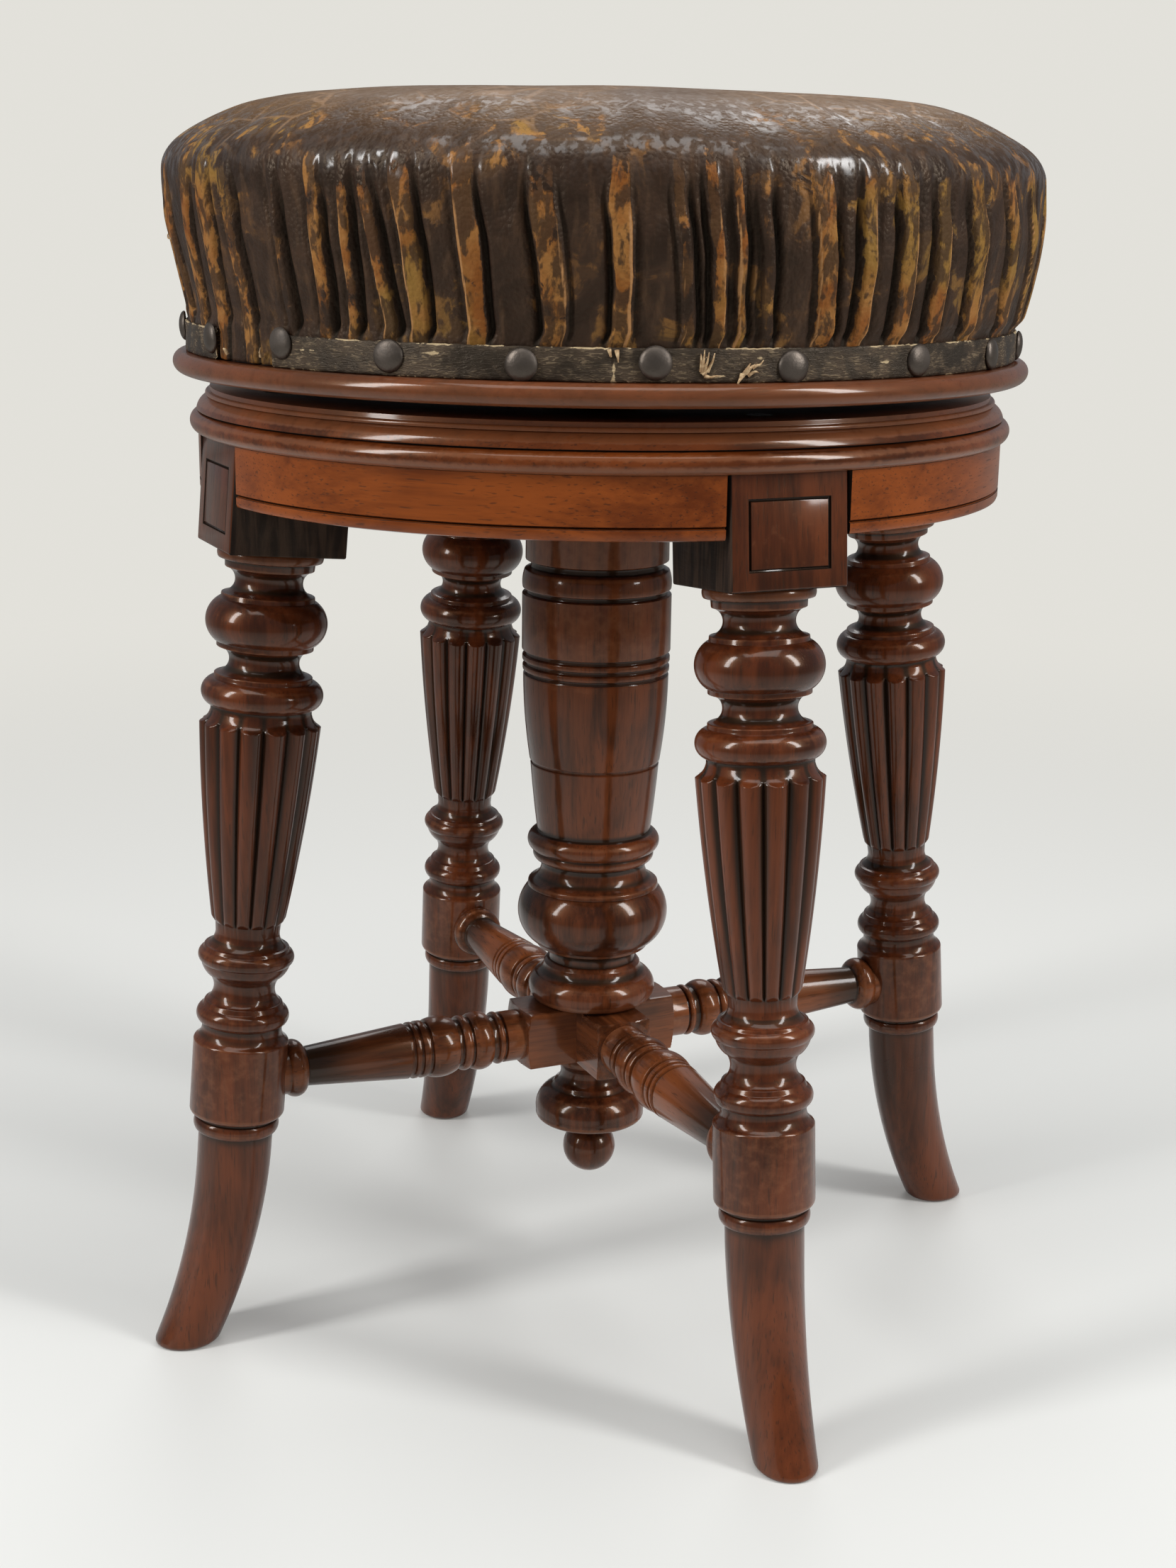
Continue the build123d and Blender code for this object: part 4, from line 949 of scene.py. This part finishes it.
bm = bmesh.new()
bm.from_mesh(smooth_cover)
for hole in (LINING_HEIGHT, COVER_SHOULDER + CROWN_RISE):
    rim = [vert for vert in bm.verts
           if vert.is_boundary and abs(vert.co.z / MM - hole) < CROWN_RISE]
    bmesh.ops.pointmerge(bm, verts=rim, merge_co=(0, 0, rim[0].co.z))
masks = {name: bm.verts.layers.float.new(name) for name in ("strip", "edge", "painted_shade", "rise")}
for vert in bm.verts:
    height, radius, azimuth = polar(vert)
    # The lining inside the cover is painted in full shade.
    if height < LINING_HEIGHT + 0.4 and radius < LINING_RADIUS + 0.5:
        vert[masks["painted_shade"]] = 1.0
        continue
    vert[masks["rise"]] = side_share(height)
    if radius < 1:
        continue
    outwards = Vector((vert.co.x, vert.co.y, 0)).normalized()
    if radius > PLEATED_RADIUS:
        shape, *marks = pleat_shape(azimuth, height)
        for name, mark in zip(("strip", "edge", "painted_shade"), marks):
            vert[masks[name]] = mark
        torn = smooth_step(0, 1.2, min(azimuth - TORN_STRETCH[0], TORN_STRETCH[1] - azimuth))
        room = max(smooth_step(BAND_TOP - 0.5, BAND_TOP + 4.5, height), 0.45 * torn)
        pucker = 0.35 * ripple(azimuth * 0.55, height * 0.05, 0) * smooth_step(500, 470, height)
        vert.co += outwards * (shape * room + pucker * room) * MM
        slip = (CUSHION_SLIP * smooth_step(BAND_TOP, BAND_TOP + 6, height)
                * smooth_step(COVER_SHOULDER, 440, height))
        vert.co += SLIP_DIRECTION * slip * MM
    slack = smooth_step(SLACK_START, SLACK_FULL, height)
    if slack:
        spot = vert.co * 9.0
        dent = 1.3 * noise.noise(spot) + 0.5 * noise.noise(spot * 2.7)
        pull = 0.6 * ripple(azimuth * 0.35, radius * 0.02, 4) * smooth_step(90, 150, radius)
        sag = CROWN_SAG + CROWN_TILT * max(0, outwards.dot(SLIP_DIRECTION)) * radius / COVER_RADIUS
        vert.co.z += ((dent + pull) * smooth_step(0, 40, radius) - sag) * slack * MM


def cells(place, scale, feature):
    """Pattern of cells about 1 / scale metres across."""
    return node(place.id_data, "TexVoronoi", {"feature": feature}, Vector=place,
                Scale=scale).outputs["Distance"]


leather, skin, place = new_material("seat_leather")
strip, edge, painted_shade, rise = (attribute(skin, name) for name in ("strip", "edge", "painted_shade", "rise"))
drift = clouds(place, 14, 4, 0.3)
blotches = clouds(place, 62, 5, 0.8)
flecks = clouds(place, 300, 4, 0.4, (1, 1, 0.55))
streaks = clouds(place, 210, 3, 0.2, (1, 1, 0.16))
# Dark hide round the side, browner and warmer over the crown.
side = blend_colors(level(blotches, 0.3, 0.72), (0.025, 0.0145, 0.0102), (0.056, 0.031, 0.020))
side = blend_colors(level(streaks, 0.52, 0.75, 0, 0.5), side, (0.115, 0.062, 0.034))
crown = blend_colors(level(drift, 0.32, 0.68), (0.064, 0.030, 0.010), (0.116, 0.058, 0.018))
crown = blend_colors(level(flecks, 0.45, 0.75, 0, 0.35), crown, (0.055, 0.035, 0.022))
hide = blend_colors(level(rise, 1.12, 1.5), side, crown)
# Tan where the strips of the pleats and the shoulder are worn, mottled with what is left.
tan_hide = blend_colors(level(blotches, 0.36, 0.62), (0.225, 0.072, 0.014), (0.330, 0.148, 0.040))
tan_hide = blend_colors(level(drift, 0.48, 0.60), tan_hide, (0.260, 0.138, 0.030))
mottle = plus(flecks, swing(clouds(place, 95, 5, 1.6, (1, 1, 0.4)), 1.5))
tan_hide = blend_colors(level(mottle, 0.37, 0.57, 0, 0.88), tan_hide, (0.046, 0.024, 0.013))
shoulder = times(level(rise, 0.62, 1.0), level(rise, 1.75, 1.25))
rubs = times(level(blotches, 0.53, 0.60), level(drift, 0.38, 0.55),
             level(shoulder, 0, 1, 0.55, 1.0), level(rise, 1.5, 1.3))
ragged = plus(strip, swing(blotches, 1.5), swing(flecks, 1.1))
tanned = combine("MAXIMUM", level(ragged, 0.42, 0.60), [rubs])
hide = blend_colors(tanned, hide, tan_hide)
# Crazing over the shoulder, pale worn lines with a painted highlight along the pleats' edges, and
# painted shade in the creases.
cracks = cells(place, 46, "DISTANCE_TO_EDGE")
crazed = times(level(cracks, 0.045, 0.01), level(drift, 0.50, 0.62), level(rise, 1.05, 1.3),
               level(rise, 1.72, 1.55), 0.75)
hide = blend_colors(crazed, hide, (0.23, 0.130, 0.062))
# A painted highlight with pale wear along the edge that faces the light.
edge_wear_and_highlight = level(plus(edge, swing(blotches, 0.9)), 0.45, 0.75)
hide = blend_colors(edge_wear_and_highlight, hide, (0.400, 0.200, 0.078))
# Painted shade: the creases and the lining go near black.
hide = blend_colors(level(painted_shade, 0.12, 0.85, 0, 0.94), hide, (0.008, 0.0055, 0.004))
dullness = plus(level(flecks, 0.3, 0.7, 0.33, 0.52), times(tanned, 0.17), times(painted_shade, 0.25),
                level(rise, 1.35, 1.58, 0.0, 0.24))
polish = times(level(rise, 0.85, 1.15), level(rise, 1.60, 1.30), level(flecks, 0.42, 0.62))
relief = plus(times(cells(place, 620, "F1"), -0.55), times(flecks, 1.1), times(streaks, 0.8),
              times(tanned, -0.45))
set_sockets(skin, Base_Color=hide, Roughness=dullness, Coat_Weight=level(polish, 0, 1, 0.0, 0.95),
            Coat_Roughness=0.16, Specular_IOR_Level=0.26, Specular_Tint=(1.0, 0.78, 0.56))
emboss(skin, times(relief, level(rise, 1.30, 1.58, 1.0, 0.14)), 0.5, 0.0008)
cover = finish_piece("leather_cover", bm, [leather], "seat", 180,
                     ("leather_cover", "seat_stuffing"))

# ---- Edge banding ----------------------------------------------------------------
# A strip of the same hide over the cover's foot, its ends lapped. It is torn away at the left, and
# its edges, the lap and the scuffs show the cream inside of the hide.

BAND_FOOT, BAND_INNER, BAND_OUTER = 404.8, 164.25, 165.6
BAND_START, BAND_TURN, BAND_LAP = 200.8, 346.5, 246.9
END_CURL = 2.5  # degrees of the strip's ends that are pulled out of line
LAP_SWELL, LAP_REACH = 0.8, 12
# Scuffs: azimuth, half length in degrees, height, half height.
SCUFFS = [(281.4, 2.0, 410.9, 0.8), (242.3, 3.0, 407.4, 0.7), (261.0, 2.6, 406.9, 0.8),
          (258.2, 0.9, 413.0, 2.6), (265.6, 1.9, 412.6, 0.6), (225.5, 2.4, 413.2, 0.7),
          (207.5, 2.6, 411.6, 0.9)]
band_section = [(BAND_INNER, height) for height in (BAND_FOOT, 408.6, 412.4, 416.2)]
band_section += [(165.1, BAND_TOP), (165.5, 416.0)]
band_section += [(BAND_OUTER, height)
                 for height in (415.3, 414.2, 413.0, 411.8, 410.6, 409.4, 408.2, 407.0, 405.9)]
band_section += [(165.5, 405.2), (165.1, BAND_FOOT)]
bm = bmesh.new()
verts = [bm.verts.new((radius * MM, 0, height * MM)) for radius, height in band_section]
ring = [bm.edges.new(pair) for pair in zip(verts, verts[1:] + verts[:1])]
bmesh.ops.contextual_create(bm, geom=ring)
bmesh.ops.spin(bm, geom=bm.verts[:] + bm.edges[:] + bm.faces[:], cent=(0, 0, 0), axis=(0, 0, 1),
               angle=radians(BAND_TURN), steps=690)
bm.transform(turned(BAND_START, "Z"))
worn = bm.verts.layers.float.new("worn")
for vert in bm.verts:
    height, radius, azimuth = polar(vert)
    end = min((azimuth - BAND_START) % 360, (BAND_START + BAND_TURN - azimuth) % 360)
    turn = 0.0
    if end < END_CURL:
        toward = 1 if (azimuth - BAND_START) % 360 < 180 else -1
        turn = toward * (1 - end / END_CURL) * (0.6 + 1.3 * ripple(height * 0.55, toward, 0))
    outer = radius > BAND_INNER + 0.5
    swell = 0.30 * ripple(azimuth * 0.30, height * 0.12, 1) if outer else 0.0
    before_lap = turned_away(BAND_LAP, azimuth)
    if outer and 0 < before_lap < LAP_REACH:
        swell += LAP_SWELL * exp(-before_lap / 2.2)
    at_top = height > BAND_TOP - 0.4
    ragged = 0.35 * ripple(azimuth * 1.4, 0, 3) + 0.2 * ripple(azimuth * 4.1, 0, 8)
    rise = ragged if at_top else 0.5 * ragged if height < BAND_FOOT + 0.5 else 0
    spot = radians(azimuth + turn)
    radius += swell
    vert.co = Vector((radius * cos(spot), radius * sin(spot), height + rise)) * MM
    wear = max(0.85 if at_top else 0.0, 0.55 if height < BAND_FOOT + 0.6 else 0.0,
               smooth_step(0.7, 0.1, end), smooth_step(0.5, 0.15, abs(before_lap)))
    for centre, length, middle, half in SCUFFS:
        away = abs(turned_away(azimuth, centre)) / length
        bent = abs(height - middle - 0.5 * ripple(azimuth * 0.9, centre, 0)) / half
        wear = max(wear, 0.9 * smooth_step(1.1, 0.7, away) * smooth_step(1.3, 0.5, bent))
    vert[worn] = wear if outer else 0.0
band_leather, skin, place = new_material("band_leather")
blotches = clouds(place, 90, 4, 0.5)
scratches = clouds(place, 230, 4, 1.5, (1, 1, 5.5))
specks = clouds(place, 900)
tone = blend_colors(level(blotches, 0.35, 0.68), (0.022, 0.0165, 0.012), (0.066, 0.046, 0.031))
crackle = times(level(scratches, 0.52, 0.62), level(blotches, 0.40, 0.56), 0.8)
tone = blend_colors(crackle, tone, (0.21, 0.155, 0.095))
torn_through = plus(attribute(skin, "worn"), swing(blotches, 2.6), swing(specks, 0.6))
cream = blend_colors(specks, (0.38, 0.25, 0.12), (0.66, 0.54, 0.34))
tone = blend_colors(level(torn_through, 0.84, 0.98), tone, cream)
set_sockets(skin, Base_Color=tone, Roughness=level(blotches, 0.3, 0.7, 0.34, 0.58),
            Specular_IOR_Level=0.38, Specular_Tint=(1.0, 0.80, 0.60))
emboss(skin, plus(times(scratches, 1.2), times(specks, 0.3)), 0.6, 0.0006)
finish_piece("edge_banding", bm, [band_leather], "seat", 50)

# ---- Frayed threads --------------------------------------------------------------
# Pale fibres of hide that stand out where the banding has been pulled apart, and one scrap high on
# the left of the cover.

# Each thread: azimuth and height of its root, then how far its tip lies round, up and out.
THREADS = [
    (257.3, 408.0, 0.4, 7.4, 1.3), (257.5, 408.4, 1.3, 6.6, 1.6), (257.9, 408.8, 2.2, 5.6, 1.2),
    (257.4, 407.8, 2.6, 3.4, 0.9), (257.2, 408.6, -0.5, 5.8, 1.0), (257.6, 407.2, 5.4, -0.6, 0.9),
    (262.6, 408.0, 2.6, 2.6, 1.5), (262.9, 407.2, 3.4, 1.2, 1.0), (262.4, 407.6, 1.8, 4.4, 1.1),
    (262.2, 407.4, -2.2, -2.9, 1.2), (263.4, 409.8, 3.8, 1.9, 0.7), (246.4, 415.6, 0.9, -2.4, 0.8),
    (247.3, 415.4, 0.5, -4.6, 0.9), (198.6, 408.2, 1.4, 2.6, 1.3), (190.4, 407.4, -1.2, 3.0, 1.2),
]
SCRAP = (169.5, 447.0, -0.6, 1.2, 3.0)
SCRAP_RADIUS = 168.6
thread_hide, skin, place = new_material("thread_hide")
fibre = clouds(place, 800)
set_sockets(skin, Roughness=level(fibre, 0.3, 0.7, 0.6, 0.85),
            Base_Color=blend_colors(level(fibre, 0.35, 0.65), (0.36, 0.215, 0.10),
                                    (0.64, 0.46, 0.26)))
curve = bpy.data.curves.new("threads", "CURVE")
curve.dimensions = "3D"
curve.bevel_depth, curve.bevel_resolution, curve.resolution_u = 0.62 * MM, 2, 8
random.seed(21)
for azimuth, height, around, up, out in THREADS + [SCRAP]:
    base_radius = BAND_OUTER + 0.1 if height < BAND_TOP else SCRAP_RADIUS
    spline = curve.splines.new("NURBS")
    spline.points.add(3)
    for point, share in zip(spline.points, (0, 0.35, 0.7, 1)):
        spot = radians(azimuth + around / BAND_OUTER * 180 / pi * share)
        radius = base_radius + out * sin(share * pi * 0.62)
        stray = random.uniform(-0.8, 0.8) if share else 0.0
        point.co = (radius * cos(spot) * MM, radius * sin(spot) * MM,
                    (height + up * share + stray) * MM, 1)
        point.radius = (1.35 - 1.1 * share) * random.uniform(0.7, 1.25)
    spline.order_u = 3
    spline.use_endpoint_u = True
tufts = bpy.data.objects.new("threads", curve)
scene.collection.objects.link(tufts)
drawn = tufts.evaluated_get(bpy.context.evaluated_depsgraph_get())
bm = bmesh.new()
bm.from_mesh(bpy.data.meshes.new_from_object(drawn))
bpy.data.objects.remove(tufts)
finish_piece("frayed_threads", bm, [thread_hide], "seat", 60, ())

# ---- Upholstery nails ------------------------------------------------------------
# Domed nails with a dark bronze patina, driven by hand through banding and cover into the board's
# edge. The row is open where the banding is torn.

NAIL_RADIUS, NAIL_DOME, NAIL_EDGE, NAIL_SEAT = 5.75, 2.4, 0.35, 165.7
BAND_MIDDLE = 410.55
# Azimuth of each nail in view and its height over the banding's middle.
NAIL_PLACES = [(164.0, 3.0), (185.2, 1.9), (202.6, 2.8), (219.6, 0.9), (236.2, -0.4), (251.8, 0.9),
               (268.7, -0.6), (287.9, 0.0), (305.9, 0.0), (325.1, 0.0)]
FURTHER_NAILS = 11
first_nail, last_nail = NAIL_PLACES[0][0], NAIL_PLACES[-1][0]
gap = (first_nail + 360 - last_nail) / (FURTHER_NAILS + 1)
NAIL_PLACES += [(last_nail + gap * number, 0.0) for number in range(1, FURTHER_NAILS + 1)]


def metal_material(name, color, rust, roughness, metallic=1.0, grime=0.5):
    """Old metal: handled sheen, dull patches and a little rust or tarnish."""
    material, skin, place = new_material(name)
    patches = clouds(place, 55, 5, 0.5)
    grit = clouds(place, 900)
    spots = times(level(plus(patches, times(grit, 0.35)), 0.66, 0.86), grime)
    set_sockets(skin, Base_Color=blend_colors(spots, color, rust),
                Roughness=level(patches, 0.3, 0.75, roughness, roughness + 0.28),
                Metallic=plus(times(spots, -1), metallic))
    emboss(skin, grit, 0.25, 0.0004)
    return material


nail_bronze = metal_material("nail_bronze", (0.110, 0.090, 0.074), (0.034, 0.023, 0.016),
                             0.33, 0.8)
bm = bmesh.new()
dome = [Vector((NAIL_RADIUS * sin(radians(slope)), NAIL_DOME * cos(radians(slope))))
        for slope in range(0, 100, 10)]
dome += [Vector((NAIL_RADIUS - 0.4, -NAIL_EDGE)), Vector((0, -NAIL_EDGE))]
spin_outline(bm, dome, 30)
weld(bm)
nail_shape = bpy.data.meshes.new("nail_shape")
bm.to_mesh(nail_shape)
bm.free()
random.seed(5)
bm = bmesh.new()
for azimuth, offset in NAIL_PLACES:
    first = len(bm.verts)
    bm.from_mesh(nail_shape)
    bm.verts.ensure_lookup_table()
    tilt = turned(random.uniform(-4, 4), "X") @ turned(random.uniform(-4, 4), "Y")
    spot = turned(azimuth, "Z") @ moved(NAIL_SEAT, 0, BAND_MIDDLE + offset) @ turned(90, "Y") @ tilt
    bmesh.ops.transform(bm, matrix=spot, verts=bm.verts[first:])
finish_piece("banding_nails", bm, [nail_bronze], "seat", 50)

# ---- Glue blocks -----------------------------------------------------------------
# Offcuts of pine glued into the corner between the rails and the board.

raw_pine = raw_wood_material("raw_pine", (0.40, 0.26, 0.13), (0.19, 0.105, 0.05), 0.55)


def paint_node(name, material):
    """Give a carried-over part its finish."""
    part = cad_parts[name]
    part.data.materials.clear()
    part.data.materials.append(material)


paint_node("glue_blocks", raw_pine)

# ---- Ironwork --------------------------------------------------------------------
# Black iron plate and nut, steel screws, the oiled steel screw that raises the seat, and a brass
# washer where the seat turns on the nut.

black_iron = metal_material("black_iron", (0.085, 0.080, 0.076), (0.13, 0.055, 0.025), 0.42)
screw_steel = metal_material("screw_steel", (0.36, 0.345, 0.32), (0.14, 0.06, 0.03), 0.38)
spindle_steel = metal_material("spindle_steel", (0.42, 0.40, 0.37), (0.09, 0.05, 0.03), 0.26,
                               grime=0.35)
washer_brass = metal_material("washer_brass", (0.60, 0.43, 0.20), (0.16, 0.10, 0.05), 0.30)
for name, metal in (("seat_flange", black_iron), ("spindle_nut", black_iron),
                    ("flange_screws", screw_steel), ("nut_screws", screw_steel),
                    ("board_screws", screw_steel), ("screw_spindle", spindle_steel),
                    ("thrust_washer", washer_brass)):
    paint_node(name, metal)
